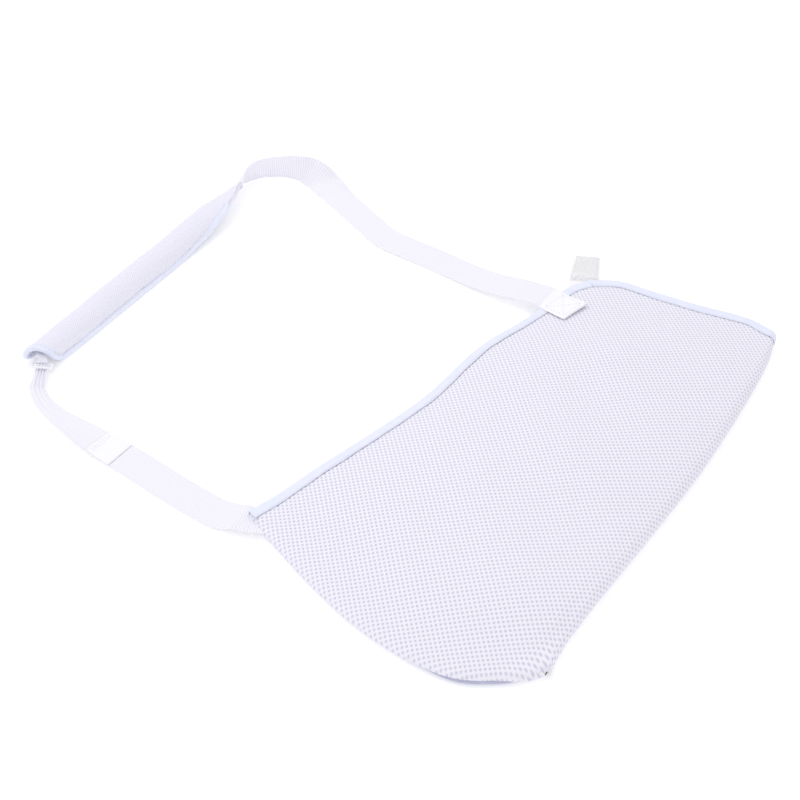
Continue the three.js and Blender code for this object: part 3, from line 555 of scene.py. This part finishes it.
# A dark tape colour that is painted shade: it stands for the shadowed underside along the elbow seam.
painted_shade_seam = tape_material("painted_shade_seam", (0.52, 0.53, 0.68), (0.46, 0.47, 0.63))
hook_tape = hook_material("hook_tape", (0.96, 0.95, 0.97), (0.80, 0.79, 0.82))
thread = thread_material()
plastic = plastic_material()


# ---- the pouch's panels ----
def seam_share(u):
    """0 on the elbow seam and 1 where the panel is no longer rolled."""
    into = np.clip(u, 0, 1) * PANEL_RUN / SEAM_ROLL
    return np.sqrt(np.clip(1 - (1 - np.minimum(into, 1)) ** 2, 0, 1))


def pulled_corner(points, u, v):
    """The fold's end at the elbow drawn out flat, so that it meets the elbow seam at a sharp corner."""
    near = 1 - smooth(0, 0.06, u)
    fall = 1 - smooth(0, 0.14, v)
    lip = FOLD_LINE[0][1]
    flatten = np.where(v < 0, points[..., 1] - lip, SEAM_RADIUS * fall) * near**2
    points[..., 0] += CORNER_PULL[0] * near * fall
    points[..., 1] += CORNER_PULL[1] * near * fall - flatten


def outer_surface(u, v, lift):
    """Places on the front panel, lift above its middle, rolled down to the seam along the elbow."""
    uu, vv = np.clip(u, 0, 1), np.clip(v, -1, 1)
    points = cloth(uu, vv) + cloth_normal(uu, vv) * np.asarray(lift)[..., None]
    share = seam_share(uu)
    points[..., 2] = SEAM_Z + (points[..., 2] - SEAM_Z) * share
    pulled_corner(points, uu, vv)
    return points


def kept(u, v, low_v, margin):
    """Which lattice places belong to the panel, with those just outside drawn onto its edge."""
    beside = margin * (1 + 3 * (1 - smooth(0, 0.12, v)))
    return (u > -beside) & (u < 1 + margin) & (v > low_v) & (v < 1 + margin)


def ripple(x, y, u, v):
    """Soft unevenness of the front panel, which dies away at its edges."""
    inner = np.clip(4 * v * (1 - v), 0, 1) * (1 - smooth(0.5, 0.8, v))
    inner = inner * smooth(0, 0.12, u) * (1 - smooth(0.85, 1, u))
    return inner * (1.3 * np.sin(x / 31 + y / 47 + 0.6) + 0.8 * np.sin(x / 17 - y / 29))


def panels():
    low, high = (-60, -45), (436, 280)
    x, y, gx, gy = lattice(PITCH_X / 4, PITCH_Y / 4, low, high)
    u, v = find_uv(x, y)
    keep = kept(u, v, -1.03, 0.006)
    deep = dimple(gx, gy)
    calm = smooth(0, 6, np.clip(u, 0, 1) * PANEL_RUN)
    lift = MESH / 2 - DIMPLE_DEPTH * deep * calm + ripple(x, y, u, v)
    points = outer_surface(u, v, lift)
    uv = np.stack([gx, gy], -1)
    front = skin("front_mesh", keep, points, uv, mesh_cloth)
    inner_x, inner_y, ix, iy = lattice(PITCH_X / 2, PITCH_Y / 2, low, high)
    iu, iv = find_uv(inner_x, inner_y)
    inner = outer_surface(iu, iv, ripple(inner_x, inner_y, iu, iv) - MESH / 2)
    inner_uv = np.stack([ix, iy], -1)
    lining = skin("front_lining", kept(iu, iv, -1.03, 0.004), inner, inner_uv, mesh_cloth, True)
    back_keep = (v > 0) & kept(u, v, 0, 0.006)
    flat = plan(np.clip(u, 0, 1), np.clip(v, 0, 1))
    share = seam_share(u)
    flat[..., 2] = FLOOR_RISE + DIMPLE_DEPTH * deep * calm
    flat[..., 2] = SEAM_Z - 0.1 + (flat[..., 2] - SEAM_Z) * share
    pulled_corner(flat, np.clip(u, 0, 1), np.clip(v, 0, 1))
    back = skin("back_mesh", back_keep, flat, uv, mesh_cloth, True)
    inside_keep = (iv > 0) & kept(iu, iv, 0, 0.004)
    top = plan(np.clip(iu, 0, 1), np.clip(iv, 0, 1))
    top[..., 2] = SEAM_Z - 0.1 + (FLOOR_RISE + MESH - SEAM_Z) * seam_share(iu)
    inside = skin("back_lining", inside_keep, top, inner_uv, mesh_cloth)
    for piece in (front, lining, back, inside):
        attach(piece, "pouch")
    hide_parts("pouch_front_panel")
    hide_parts("pouch_back_panel")


# ---- straps ----
def turned(vectors, axes, angle):
    """Each vector turned about its own axis by its angle."""
    c, s = np.cos(angle)[:, None], np.sin(angle)[:, None]
    dot = np.sum(vectors * axes, axis=1, keepdims=True)
    return vectors * c + np.cross(axes, vectors) * s + axes * dot * (1 - c)


class Frames:
    """Places along a strap, each with its direction across, its face normal and its width."""

    def __init__(self, point, across, normal, width):
        self.point, self.across, self.normal, self.width = point, across, normal, width

    def __add__(self, other):
        return Frames(*(np.concatenate(pair) for pair in zip(self.all(), other.all())))

    def all(self):
        return self.point, self.across, self.normal, self.width

    def part(self, chosen):
        return Frames(*(value[chosen] for value in self.all()))

    def runs(self):
        return runs_of(self.point)

    def at(self, want):
        """The frames at these distances along the strap."""
        runs = self.runs()
        values = []
        for value in self.all():
            flat = value.reshape(len(runs), -1)
            made = np.stack([np.interp(want, runs, column) for column in flat.T], -1)
            values.append(made.reshape(len(want), *value.shape[1:]))
        point, across, normal, width = values
        return Frames(point, unit(across), unit(normal), width)


def strap_frames(stations, steps):
    route, last = Line(stations), len(stations) - 1
    data = np.array(stations, float)
    t = np.linspace(0, 1, steps + 1)
    e = 1e-4
    ahead = unit(route.at(np.minimum(t + e, 1)) - route.at(np.maximum(t - e, 0)))
    k = np.minimum((t * last).astype(int), last - 1)
    f = t * last - k
    roll = mix(data[k, 3], data[k + 1, 3], f * f * (3 - 2 * f))
    across = turned(unit(np.cross(ahead, UP)), ahead, np.radians(roll))
    return Frames(route.at(t), across, unit(np.cross(across, ahead)), mix(data[k, 4], data[k + 1, 4], f))


hinge_axis = unit(TAB_HINGE - TIP_HINGE)
hinge_out = unit(np.cross(UP, hinge_axis))


def sewn_frame(hinge, width, across_side, normal_side):
    normal = unit(np.cross(hinge_axis, hinge_out))
    point = hinge - normal * WEB / 2
    across, normal = across_side * hinge_axis[None], normal_side * normal[None]
    return Frames(point[None], across, normal, np.array([float(width)]))


buckle_ahead = np.array([math.cos(math.radians(BUCKLE_HEADING)), math.sin(math.radians(BUCKLE_HEADING)), 0])
buckle_across = turned(np.cross(buckle_ahead, UP)[None], buckle_ahead[None], np.radians([BUCKLE_ROLL]))[0]
buckle_normal = np.cross(buckle_across, buckle_ahead)


def in_buckle(length, height, shift=0.0):
    return BUCKLE_PLACE + buckle_ahead * length + buckle_normal * height - buckle_across * shift


def buckle_frames(places, width, fine=3):
    """Frames through places in the buckle: length, height and shift to the left."""
    route = Line([(p[0], p[1], p[2] if len(p) > 2 else 0.0) for p in places])
    t = np.linspace(0, 1, fine * (len(places) - 1) + 1)
    local = route.at(t)
    point = np.array([in_buckle(*p) for p in local])
    level = np.array([in_buckle(p[0], p[1]) for p in local])
    ahead = unit(np.gradient(level, axis=0))
    across = np.repeat(buckle_across[None], len(t), 0)
    return Frames(point, across, unit(np.cross(across, ahead)), np.full(len(t), float(width)))


def resampled(frames, step):
    """The same strap with its frames evenly this far apart, and its normals square to its run."""
    runs = frames.runs()
    made = frames.at(np.linspace(0, runs[-1], max(4, int(runs[-1] / step)) + 1))
    ahead = unit(np.gradient(made.point, axis=0))
    across = unit(made.across - ahead * np.sum(made.across * ahead, axis=1, keepdims=True))
    normal = np.cross(across, ahead)
    side = np.sign(np.sum(normal * made.normal, axis=1, keepdims=True))
    return Frames(made.point, across, normal * side, made.width)


def webbing_piece(name, frames, material, thick=WEB, pleats=0.0, columns=14, start=0.0):
    """A strap with rounded edges. Where it is narrower than its full width it lies in lengthwise pleats."""
    rows = len(frames.width)
    half = thick / 2
    share = np.linspace(-1, 1, columns)
    bend = np.radians([60, 30, 0, -30, -60])
    side = np.concatenate([share, np.ones(5), share[::-1], -np.ones(5)])
    edge = np.concatenate([0 * share, half * np.cos(bend), 0 * share, -half * np.cos(bend)])
    high = np.concatenate([0 * share + half, half * np.sin(bend), 0 * share - half, -half * np.sin(bend)])
    reach = (frames.width / 2 - half)[:, None]
    gathered = np.clip(1 - frames.width / WEB_WIDTH, 0, 1)[:, None] * pleats
    fold = gathered * np.cos(np.pi * 3.5 * (side[None] + 0.06))
    offset = side[None] * reach + edge[None]
    points = frames.point[:, None] + frames.across[:, None] * offset[..., None]
    points = points + frames.normal[:, None] * (high[None] + fold)[..., None]
    runs = frames.runs() + start
    uv = np.stack([side[None] * WEB_WIDTH / 2 + edge[None] + 0 * reach, runs[:, None] + 0 * offset], -1)
    size = len(side)
    made = new_object(name, points, tube_faces(rows, size), material, uv)
    return made


def stitches(name, places, normals, length=2.2, gap=1.2, radius=0.32, body="pouch"):
    """A row of sewn stitches along places, each one a short thread with sunk ends."""
    places, normals = np.asarray(places, float), np.asarray(normals, float)
    runs = runs_of(places)
    count = int((runs[-1] + gap) / (length + gap))
    if count < 1:
        raise ValueError(name)
    profile = [(-0.5, 0.25, -0.3), (-0.42, 0.8, -0.05), (-0.2, 1.0, 0.1), (0.2, 1.0, 0.1), (0.42, 0.8, -0.05),
               (0.5, 0.25, -0.3)]
    ring = np.radians(np.arange(6) * 60.0)
    points, faces = [], []
    for i in range(count):
        centre = (i + 0.5) * (length + gap) - gap / 2
        want = centre + np.array([p[0] for p in profile]) * length
        place = between(want, runs, places)
        up = unit(between(want, runs, normals))
        ahead = unit(np.gradient(place, axis=0))
        beside = unit(np.cross(ahead, up))
        first = len(points) * 6
        for k, (_, fat, lift) in enumerate(profile):
            centre_point = place[k] + up[k] * lift
            points.append(centre_point + radius * fat * (
                np.outer(np.cos(ring), beside[k]) + np.outer(np.sin(ring), up[k])))
        faces += [tuple(first + j for j in f) for f in tube_faces(len(profile), 6)]
    made = new_object(name, np.concatenate(points), faces, thread)
    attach(made, body)
    return made


def declare_strap(piece, frames, **words):
    length = float(frames.runs()[-1]) / 1000


# ---- binding tape ----
def bound_edge(points, normals, side):
    """Square frames along an edge: which way it faces, and its cloth's normal."""
    ahead = unit(np.gradient(points, axis=0))
    outward = unit(np.cross(ahead, normals)) * side
    square = unit(normals - outward * np.sum(normals * outward, axis=1, keepdims=True))
    return outward, square


def binding(name, points, normals, half, depth, side=-1, seed=3, body="pouch", wave=0.35):
    """Tape wrapped over an edge and sewn down, a little uneven along its run."""
    runs = runs_of(points)
    even = np.linspace(0, runs[-1], int(runs[-1] / 1.6) + 1)
    points = between(even, runs, points)
    normals = unit(between(even, runs, normals))
    outward, square = bound_edge(points, normals, side)
    random = np.random.default_rng(seed)
    uneven = sum(np.sin(even / span + random.uniform(0, 7)) for span in (5.3, 9.1, 17.0)) * wave / 2
    pucker = 0.5 + 0.5 * np.cos(2 * np.pi * even / 3.4)
    bend = np.radians(np.linspace(90, -90, 13))
    outer, inner = half + TAPE, half + 0.05
    out = np.array([-depth, -depth + 0.6, -depth + 1.6, -depth * 0.6, -depth * 0.3,
                    *(outer * 0.75 * np.cos(bend)),
                    -depth * 0.3, -depth * 0.6, -depth + 1.6, -depth + 0.6, -depth,
                    -depth, -depth * 0.5, *(inner * 0.6 * np.cos(bend[::-1])), -depth * 0.5, -depth])
    rise = np.array([inner, outer, outer, outer + 0.15, outer + 0.2, *(outer * np.sin(bend)),
                     -outer - 0.2, -outer - 0.15, -outer, -outer, -inner,
                     -inner, -inner, *(inner * np.sin(bend[::-1])), inner, inner])
    edge = np.clip((-out - depth * 0.5) / (depth * 0.5), 0, 1)
    sewn = (np.abs(out + depth - 1.6) < 0.1)[None] * np.sign(rise)[None] * (0.35 * pucker)[:, None]
    offset = out[None] + uneven[:, None] * edge[None]
    high = rise[None] - sewn
    places = points[:, None] + outward[:, None] * offset[..., None] + square[:, None] * high[..., None]
    size = len(out)
    spread = np.concatenate([[0], np.cumsum(np.hypot(np.diff(out), np.diff(rise)))])
    uv = np.stack([0 * offset + spread[None], 0 * offset + even[:, None]], -1)
    made = new_object(name, places, tube_faces(len(points), size), tape, uv)
    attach(made, body)
    row = points + outward * (-depth + 1.6) + square * (outer + 0.05)
    sewn_row = stitches(name + "_stitches", row, square, body=body)
    return made


def mouth_binding():
    def back(u, v):
        point = plan(u, v)
        point[..., 2] = BACK_MID
        return point, np.broadcast_to(-UP, point.shape)
    u = np.linspace(0.004, 1, 140)[:-1]
    v = np.linspace(1, 0, 80)[:-1]
    turn = np.linspace(0, -1, 16)[:-1]
    along = (u, 1 + 0 * u), (1 + 0 * v, v), (1 + 0 * turn, turn)
    parts = [(cloth(a, b), cloth_normal(a, b)) for a, b in along]
    parts += [back(1 + 0 * v, v[::-1]), back(u[::-1], 1 + 0 * u)]
    points = np.concatenate([p for p, _ in parts])
    normals = np.concatenate([n for _, n in parts])
    made = binding("mouth_tape", points, normals, MESH / 2 + 0.35, BINDING_DEPTH)
    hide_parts("mouth_binding")


# ---- the shoulder pad ----
pad_line = Line([(x, y) for x, y, *_ in PAD_STATIONS])


def pad_mid(t, s):
    """The middle of the pad's thickness: t along it, s across it from its near edge (-0.5) to its far one."""
    t, s = pair(t, s)
    data = np.array(PAD_STATIONS, float)
    last = len(data) - 1
    k = np.clip((t * last).astype(int), 0, last - 1)
    f = t * last - k
    f = f * f * (3 - 2 * f)
    width, arc, roll = (mix(data[k, i], data[k + 1, i], f) for i in (2, 3, 4))
    arc, roll = np.radians(arc), np.radians(roll)
    half = width / 2 - PAD_EDGE
    radius = 2 * half / arc

    def section(run):
        bend = np.clip(run, -half, half) / radius
        rest = run - bend * radius
        y = radius * np.sin(bend) + rest * np.cos(bend)
        z = radius * np.cos(bend) - rest * np.sin(bend)
        return y * np.cos(roll) + z * np.sin(roll), z * np.cos(roll) - y * np.sin(roll)

    (y0, z0), (y1, z1), (y, z) = section(-0.5 * width), section(0.5 * width), section(s * width)
    place = pad_line.at(t)
    skew = PAD_SKEW * s * np.maximum(0, 1 - t / 0.2)
    height = z - np.minimum(z0, z1) + PAD_REST
    return np.stack([place[..., 0] - skew, place[..., 1] + y - (y0 + y1) / 2, height], -1)


def pad_frame(t, s):
    e = 0.002
    along = pad_mid(np.minimum(t + e, 1), s) - pad_mid(np.maximum(t - e, 0), s)
    across = pad_mid(t, s + e) - pad_mid(t, s - e)
    return pad_mid(t, s), unit(np.cross(along, across))


def shoulder_pad():
    rows, columns = 150, 40
    t = np.concatenate([PAD_CORNER * np.linspace(0, 1, 9)[:-1] ** 1.6, np.linspace(PAD_CORNER, 1, rows)])
    short = np.maximum(0, 1 - t / PAD_CORNER)
    reach = 0.5 - PAD_CORNER_SIDE * (1 - np.sqrt(1 - short**2))
    s = np.linspace(-1, 1, columns)[None] * reach[:, None]
    point, normal = pad_frame(t[:, None] + 0 * s, s)
    share = np.linspace(-1, 1, columns)[None]
    random = np.random.default_rng(5)
    rumple = sum(0.16 * np.sin(point[..., 0] / a + point[..., 1] / b + random.uniform(0, 6))
                 for a, b in ((9, 14), (17, -8), (31, 11)))
    swell = PAD_HALF * (0.8 + 0.28 * np.sqrt(np.clip(1 - share**4, 0, 1))) + rumple * (1 - share**4)
    outer = point + normal * swell[..., None]
    inner = point - normal * (PAD_HALF * 0.9)
    run = runs_of(point[:, columns // 2])
    uv = np.stack([run[:, None] + 0 * s, s * 46], -1)
    count = len(t)
    quads = grid_faces(count, columns)
    base = count * columns
    faces = [tuple(q) for q in quads] + [tuple(base + q[::-1]) for q in quads]
    rim = ([i * columns for i in range(count)], [i * columns + columns - 1 for i in range(count)][::-1],
           list(range(columns))[::-1], [(count - 1) * columns + j for j in range(columns)])
    for line in rim:
        faces += [(a, b, b + base, a + base) for a, b in zip(line[1:], line[:-1])]
    points = np.concatenate([outer.reshape(-1, 3), inner.reshape(-1, 3)])
    made = new_object("shoulder_pad", points, faces, pad_cloth, np.concatenate([uv.reshape(-1, 2)] * 2))
    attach(made, "neck_loop")
    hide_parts("pad_face", "pad_core", "pad_back")


def pad_binding():
    along = np.linspace(PAD_CORNER, PAD_BOUND, 90)
    bend = np.radians(np.linspace(0, 90, 12))
    corner_t, corner_s = PAD_CORNER * (1 - np.sin(bend)), 0.5 - PAD_CORNER_SIDE * (1 - np.cos(bend))
    side = np.linspace(-1, 1, 16)[1:-1] * (0.5 - PAD_CORNER_SIDE)
    t = np.concatenate([along[::-1][:-1], corner_t, 0 * side, corner_t[::-1], along[1:]])
    s = np.concatenate([0 * along[1:] - 0.5, -corner_s, side, corner_s[::-1], 0 * along[1:] + 0.5])
    point, normal = pad_frame(t, s)
    made = binding("pad_tape", point, normal, PAD_HALF - 0.1, 4.2, seed=8, body="neck_loop", wave=0.25)
    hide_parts("pad_binding")


def under_pad(depth, width, places):
    places = np.asarray(places, float)
    point, normal = pad_frame(places, 0 * places)
    across = unit(pad_mid(places, 0 * places - 0.01) - pad_mid(places, 0 * places + 0.01))
    return Frames(point - normal * depth, across, normal, np.full(len(places), float(width)))


# ---- the neck loop's straps ----
def lower_strap():
    sewn = ((2, 238, 22), (-4, 252, 24), (-9, 264, 26))
    inside = strap_frames([(x, y, MOUTH_MID, 0, width) for x, y, width in sewn], 6)
    free = strap_frames(LOWER_STRAP, 120)
    wrapped = buckle_frames(WRAP, BUCKLE_WEB)
    frames = inside + sewn_frame(TIP_HINGE, 28, 1, 1) + free + wrapped
    made_frames = resampled(frames, 1.4)
    start = inside.runs()[-1]
    piece = webbing_piece("lower_strap_web", made_frames, webbing, pleats=1.5, columns=26, start=-start)
    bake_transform(piece)
    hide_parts("lower_strap_end", "lower_strap")
    float(made_frames.runs()[-1]) / 1000
    return free, wrapped


def strap_tail(free, wrapped):
    """The free end: back over the strap, with its end folded under and sewn."""
    low = WRAP[1][1] + WEB + TAIL_GAP
    first = buckle_frames([(0.2, low), (-2, low), (-4.5, low)], BUCKLE_WEB)
    first.normal = -first.normal
    under = (free + wrapped.part(slice(0, 1))).part(slice(None, None, -1))
    lift = WEB / 2 + THIN / 2 - 0.1
    over = Frames(under.point + under.normal * lift, under.across, under.normal, under.width)
    marks = first + over
    top = marks.at(np.linspace(0, TAIL_LENGTH, 80))
    top = Frames(top.point, top.across, top.normal, top.width - 1)
    top.point[-1] -= top.normal[-1] * 0.35
    tail = webbing_piece("tail_web", top, webbing, thick=THIN, pleats=1.5, columns=26)
    hem_runs = np.linspace(TAIL_LENGTH - HEM_LENGTH, TAIL_LENGTH, 16)
    hem = marks.at(hem_runs)
    hem.point = hem.point + hem.normal * (THIN - 0.25)
    hem.width = hem.width - 1.2
    hem.point[-1] -= hem.normal[-1] * 0.6
    # The hem takes the lighter copy of the webbing, as painted light.
    folded = webbing_piece("tail_hem_web", hem, painted_lit_webbing, thick=THIN)
    rows = []
    for inset in (3.0, 5.2):
        place = marks.at(np.array([TAIL_LENGTH - HEM_LENGTH + inset]))
        at = place.point[0] + place.normal[0] * (THIN * 1.5 - 0.2)
        reach = np.linspace(-11.5, 11.5, 12)[:, None]
        rows.append(stitches(f"tail_stitches_{len(rows)}", at + place.across[0] * reach,
                             np.repeat(place.normal, 12, 0), body="tail"))
    for piece in (tail, folded):
        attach(piece, "tail")
    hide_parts("strap_tail")
    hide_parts("tail_hem")
    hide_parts("tail_hem_stitch")
    declare_strap(tail, top)


def tab_frames(steps):
    return strap_frames([(x, y, z - TAB_SINK, roll, width) for x, y, z, roll, width in TAB_STATIONS], steps)


def upper_strap():
    depth = PAD_HALF + 1.2 + WEB / 2
    hidden = under_pad(depth, WEB_WIDTH - 2, np.linspace(0.95, 1, 5))
    free = strap_frames(UPPER_STRAP, 200)
    sewn = sewn_frame(TAB_HINGE, 30, 1, -1)
    tab = tab_frames(24)
    tab = Frames(tab.point, -tab.across, -tab.normal, tab.width)
    frames = resampled(hidden + free + sewn + tab, 1.6)
    piece = webbing_piece("upper_strap_web", frames, webbing, columns=16)
    # Painted light: the strap's faces on the tab take the lighter copy of the webbing.
    piece.data.materials.append(painted_lit_webbing)
    tab_edge = put(TAB_HINGE - hinge_out * 3)[1]
    for face in piece.data.polygons:
        face.material_index = int(face.center.y < tab_edge)
    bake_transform(piece)
    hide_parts("upper_strap", "front_tab")
    rows = tab_stitches()
    declare_strap(piece, frames, with_pieces=rows)
    seam = under_pad(depth + WEB / 2 + 0.1, 24, [0.962])
    reach = np.linspace(-12, 12, 12)[:, None]
    down = -np.repeat(seam.normal, 12, 0)
    row = stitches("strap_seam_stitches", seam.point + seam.across * reach, down, body="neck_loop")
    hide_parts("upper_strap_stitch")


def tab_stitches():
    """A sewn box with a cross, on the strap's end on the pouch."""
    tab = tab_frames(40)
    runs = tab.runs()
    near, far = runs[-1] * 0.16, runs[-1] * 0.88
    side = WEB_WIDTH / 2 - 3.0
    corners = {"near": ((near, -side), (near, side)), "far": ((far, -side), (far, side)),
               "left": ((near, -side), (far, -side)), "right": ((near, side), (far, side)),
               "cross_a": ((near, -side), (far, side)), "cross_b": ((near, side), (far, -side))}
    rows = []
    for name, ((run_a, side_a), (run_b, side_b)) in corners.items():
        share = np.linspace(0, 1, 14)
        frames = tab.at(mix(run_a, run_b, share))
        place = frames.point + frames.across * mix(side_a, side_b, share)[:, None]
        place = place + frames.normal * (WEB / 2 + 0.08)
        rows.append(stitches(f"tab_stitches_{name}", place, frames.normal))
    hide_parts("front_tab_stitch")
    return rows


def pad_loop():
    frames = buckle_frames(PAD_LOOP, LOOP_WIDTH, 4)
    piece = webbing_piece("pad_loop_web", frames, webbing, thick=LOOP_THICK, columns=8)
    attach(piece, "neck_loop")
    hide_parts("pad_loop")
    float(frames.runs()[-1]) / 1000


def rounded_path(length, width, radius, steps=8):
    """A closed rounded rectangle: length and width are to its corners' outsides."""
    places = []
    for quarter, (sx, sy) in enumerate(((1, 1), (-1, 1), (-1, -1), (1, -1))):
        for a in np.radians(np.linspace(0, 90, steps) + 90 * quarter):
            x, y = sx * (length - radius), sy * (width - radius)
            places.append((x + radius * math.cos(a), y + radius * math.sin(a)))
    return np.array(places)


def slider():
    """A moulded slider: one rounded frame with a bar across its middle."""
    long, wide, tilt = 6.55, 8.4, -0.55  # half its length and width, and its slope
    path = rounded_path(long, wide, 1.6)
    ahead = unit(np.roll(path, -1, 0) - np.roll(path, 1, 0))
    beside = np.stack([ahead[:, 1], -ahead[:, 0]], -1)
    ring = np.radians(np.arange(16) * 22.5)
    fat_x = 1.15 * np.sign(np.cos(ring)) * np.abs(np.cos(ring)) ** 0.75
    fat_z = 1.3 * np.sign(np.sin(ring)) * np.abs(np.sin(ring)) ** 0.75
    local = path[:, None] + beside[:, None] * fat_x[None, :, None]
    points = [np.concatenate([local, 0 * local[..., :1] + fat_z[None, :, None]], -1).reshape(-1, 3)]
    count = len(path)
    faces = [tuple(f) for f in grid_faces(count, 16, True)]
    faces += [((count - 1) * 16 + j, (count - 1) * 16 + (j + 1) % 16, (j + 1) % 16, j) for j in range(16)]
    across = np.linspace(-wide, wide, 9)
    bar = np.stack([0 * across[:, None] + 0.96 * fat_x[None], across[:, None] + 0 * fat_x[None],
                    0 * across[:, None] + 0.9 * fat_z[None]], -1)
    faces += [tuple(count * 16 + i for i in f) for f in tube_faces(9, 16)]
    points.append(bar.reshape(-1, 3))
    local = np.concatenate(points)
    local[:, 2] += SLIDER_RISE + tilt * local[:, 0]
    places = BUCKLE_PLACE + local[:, :1] * buckle_ahead + local[:, 1:2] * buckle_across
    places = places + local[:, 2:] * buckle_normal
    made = new_object("slider_buckle", places, faces, plastic)
    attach(made, "buckle")
    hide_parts("buckle")


# ---- the closure tab ----
def closure():
    ahead = np.array([math.cos(math.radians(CLOSURE_HEADING)), math.sin(math.radians(CLOSURE_HEADING)), 0])
    across = np.cross(ahead, UP)
    top = CLOSURE_HINGE[2] - WEB / 2
    ends = np.linspace(0, CLOSURE_LENGTH, 7)
    free = [(x, top - CLOSURE_DROOP * x / CLOSURE_LENGTH) for x in ends]
    places = [(-36, MOUTH_MID), (-24, MOUTH_MID), (-8, MOUTH_MID), (-4.8, 6.25), (-2.8, 7.2), *free]
    route = Line([(x, z) for x, z in places])
    local = route.at(np.linspace(0, 1, 90))
    point = CLOSURE_HINGE * [1, 1, 0] + local[:, :1] * ahead + local[:, 1:2] * UP
    run = unit(np.gradient(point, axis=0))
    sides = np.repeat(across[None], len(point), 0)
    taper = 4.0 * (1 - smooth(0, CLOSURE_LENGTH, local[:, 0]))
    point = point - sides * (taper * 0.6)[:, None]
    frames = Frames(point, sides, unit(np.cross(sides, run)), CLOSURE_WIDTH + taper)
    # The closure tab takes the lighter copy of the webbing, as painted light.
    piece = webbing_piece("closure_web", frames, painted_lit_webbing, columns=12)
    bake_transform(piece)
    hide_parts("closure_anchor", "closure_tab")
    hook_piece = hook(frames.part(local[:, 0] > -7.5))
    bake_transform(hook_piece)
    length = float(frames.runs()[-1]) / 1000


def hook(frames):
    """Hook tape: a backing with a field of small hooks standing on it."""
    runs = frames.runs()
    length, half = runs[-1] - 1.0, CLOSURE_WIDTH / 2 - 0.6
    i = np.linspace(0, length, 46)
    j = np.linspace(-half, half, 38)
    frame = frames.at(i)
    random = np.random.default_rng(11)
    base = 0.9 + random.uniform(-0.12, 0.55, (len(i), len(j)))
    rim = np.minimum(np.minimum(i, length - i)[:, None], (half - np.abs(j))[None])
    base = np.where(rim < 1.4, 0.55, base)
    base[[0, -1]] = 0
    base[:, [0, -1]] = 0
    jitter = random.uniform(-0.16, 0.16, (len(i), len(j))) * (rim > 1.4)
    wide = frame.width[:, None] / CLOSURE_WIDTH
    points = frame.point[:, None] + frame.across[:, None] * (j[None] * wide + jitter)[..., None]
    points = points + frame.normal[:, None] * (WEB / 2 + base)[..., None]
    uv = np.stack([j[None] + 0 * i[:, None], i[:, None] + 0 * j[None]], -1)
    made = new_object("hook_strip", points, grid_faces(len(i), len(j)), hook_tape, uv)
    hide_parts("closure_hook")
    return made


def elbow_seam_shade():
    """The turned seam, coloured dark as painted shade for the shadowed underside, which shows below the front
    panel round the lower part of the elbow's curve.
    """
    v = np.linspace(0.0, 0.85, 120)
    place = plan(0 * v, v)
    ahead = unit(np.gradient(place, axis=0))
    inward = unit(np.cross(ahead, UP))
    ring = np.radians(np.arange(14) * 360 / 14)
    shows = smooth(0.0, 0.07, v) * (1 - smooth(0.2, 0.4, v))
    centre = place + inward * (7.0 - 4.4 * shows)[:, None]
    centre[:, 2] = 3.4 - 0.3 * shows
    full = 0.1 + 0.9 * smooth(0.02, 0.09, v)
    points = centre[:, None] + inward[:, None] * (4.0 * np.outer(full, np.cos(ring)))[..., None]
    points = points + UP * (1.8 * np.outer(full, np.sin(ring)))[..., None]
    run = runs_of(place)
    uv = np.stack([np.arange(14)[None] + 0 * points[..., 0], run[:, None] + 0 * points[..., 0]], -1)
    made = new_object("elbow_seam_shade", points, tube_faces(120, 14), painted_shade_seam, uv)
    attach(made, "pouch")
    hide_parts("elbow_seam")


panels()
elbow_seam_shade()
mouth_binding()
shoulder_pad()
pad_binding()
strap_tail(*lower_strap())
upper_strap()
pad_loop()
slider()
closure()


# ---- camera, light and floor ----
def camera():
    data = bpy.data.cameras.new("camera")
    data.lens, data.sensor_width = 63.0, 36.0
    data.clip_start, data.clip_end = 0.01, 100
    made = bpy.data.objects.new("camera", data)
    bpy.context.scene.collection.objects.link(made)
    level = unit([0.83418, 0.55149, 0])
    down = math.radians(45)
    ahead = level * math.cos(down) - UP * math.sin(down)
    made.location = Vector(put([-548.7, -235.0, 868.0]))
    made.rotation_mode = "QUATERNION"
    made.rotation_quaternion = Vector(ahead).to_track_quat("-Z", "Y")
    bpy.context.scene.camera = made


def area_light(name, place, target, size, power, colour=(1, 1, 1)):
    data = bpy.data.lights.new(name, "AREA")
    data.shape, data.size, data.energy, data.color = "DISK", size, power, colour
    made = bpy.data.objects.new(name, data)
    bpy.context.scene.collection.objects.link(made)
    made.location = place
    made.rotation_mode = "QUATERNION"
    made.rotation_quaternion = (Vector(target) - Vector(place)).to_track_quat("-Z", "Y")


def studio():
    bpy.context.scene.view_settings.view_transform = "Standard"
    world = bpy.data.worlds.new("world")
    bpy.context.scene.world = world
    world.use_nodes = True
    world.node_tree.nodes["Background"].inputs[0].default_value = (1, 1, 1, 1)
    world.node_tree.nodes["Background"].inputs[1].default_value = 0.86
    area_light("key", (0.3, 0.9, 1.7), (0, 0, 0), 1.4, 9)
    area_light("fill", (-1.2, -0.6, 1.5), (0, 0, 0), 1.6, 3)
    size = 6.0
    mesh = bpy.data.meshes.new("floor")
    corners = [(-size, -size, 0), (size, -size, 0), (size, size, 0), (-size, size, 0)]
    mesh.from_pydata(corners, [], [(0, 1, 2, 3)])
    table = Shader("floor", (0.95, 0.95, 0.95), 0.9, Emission_Strength=0.2)
    table.inputs["Emission Color"].default_value = (1, 1, 1, 1)
    mesh.materials.append(table.made)
    floor = bpy.data.objects.new("floor", mesh)
    bpy.context.scene.collection.objects.link(floor)


camera()
studio()
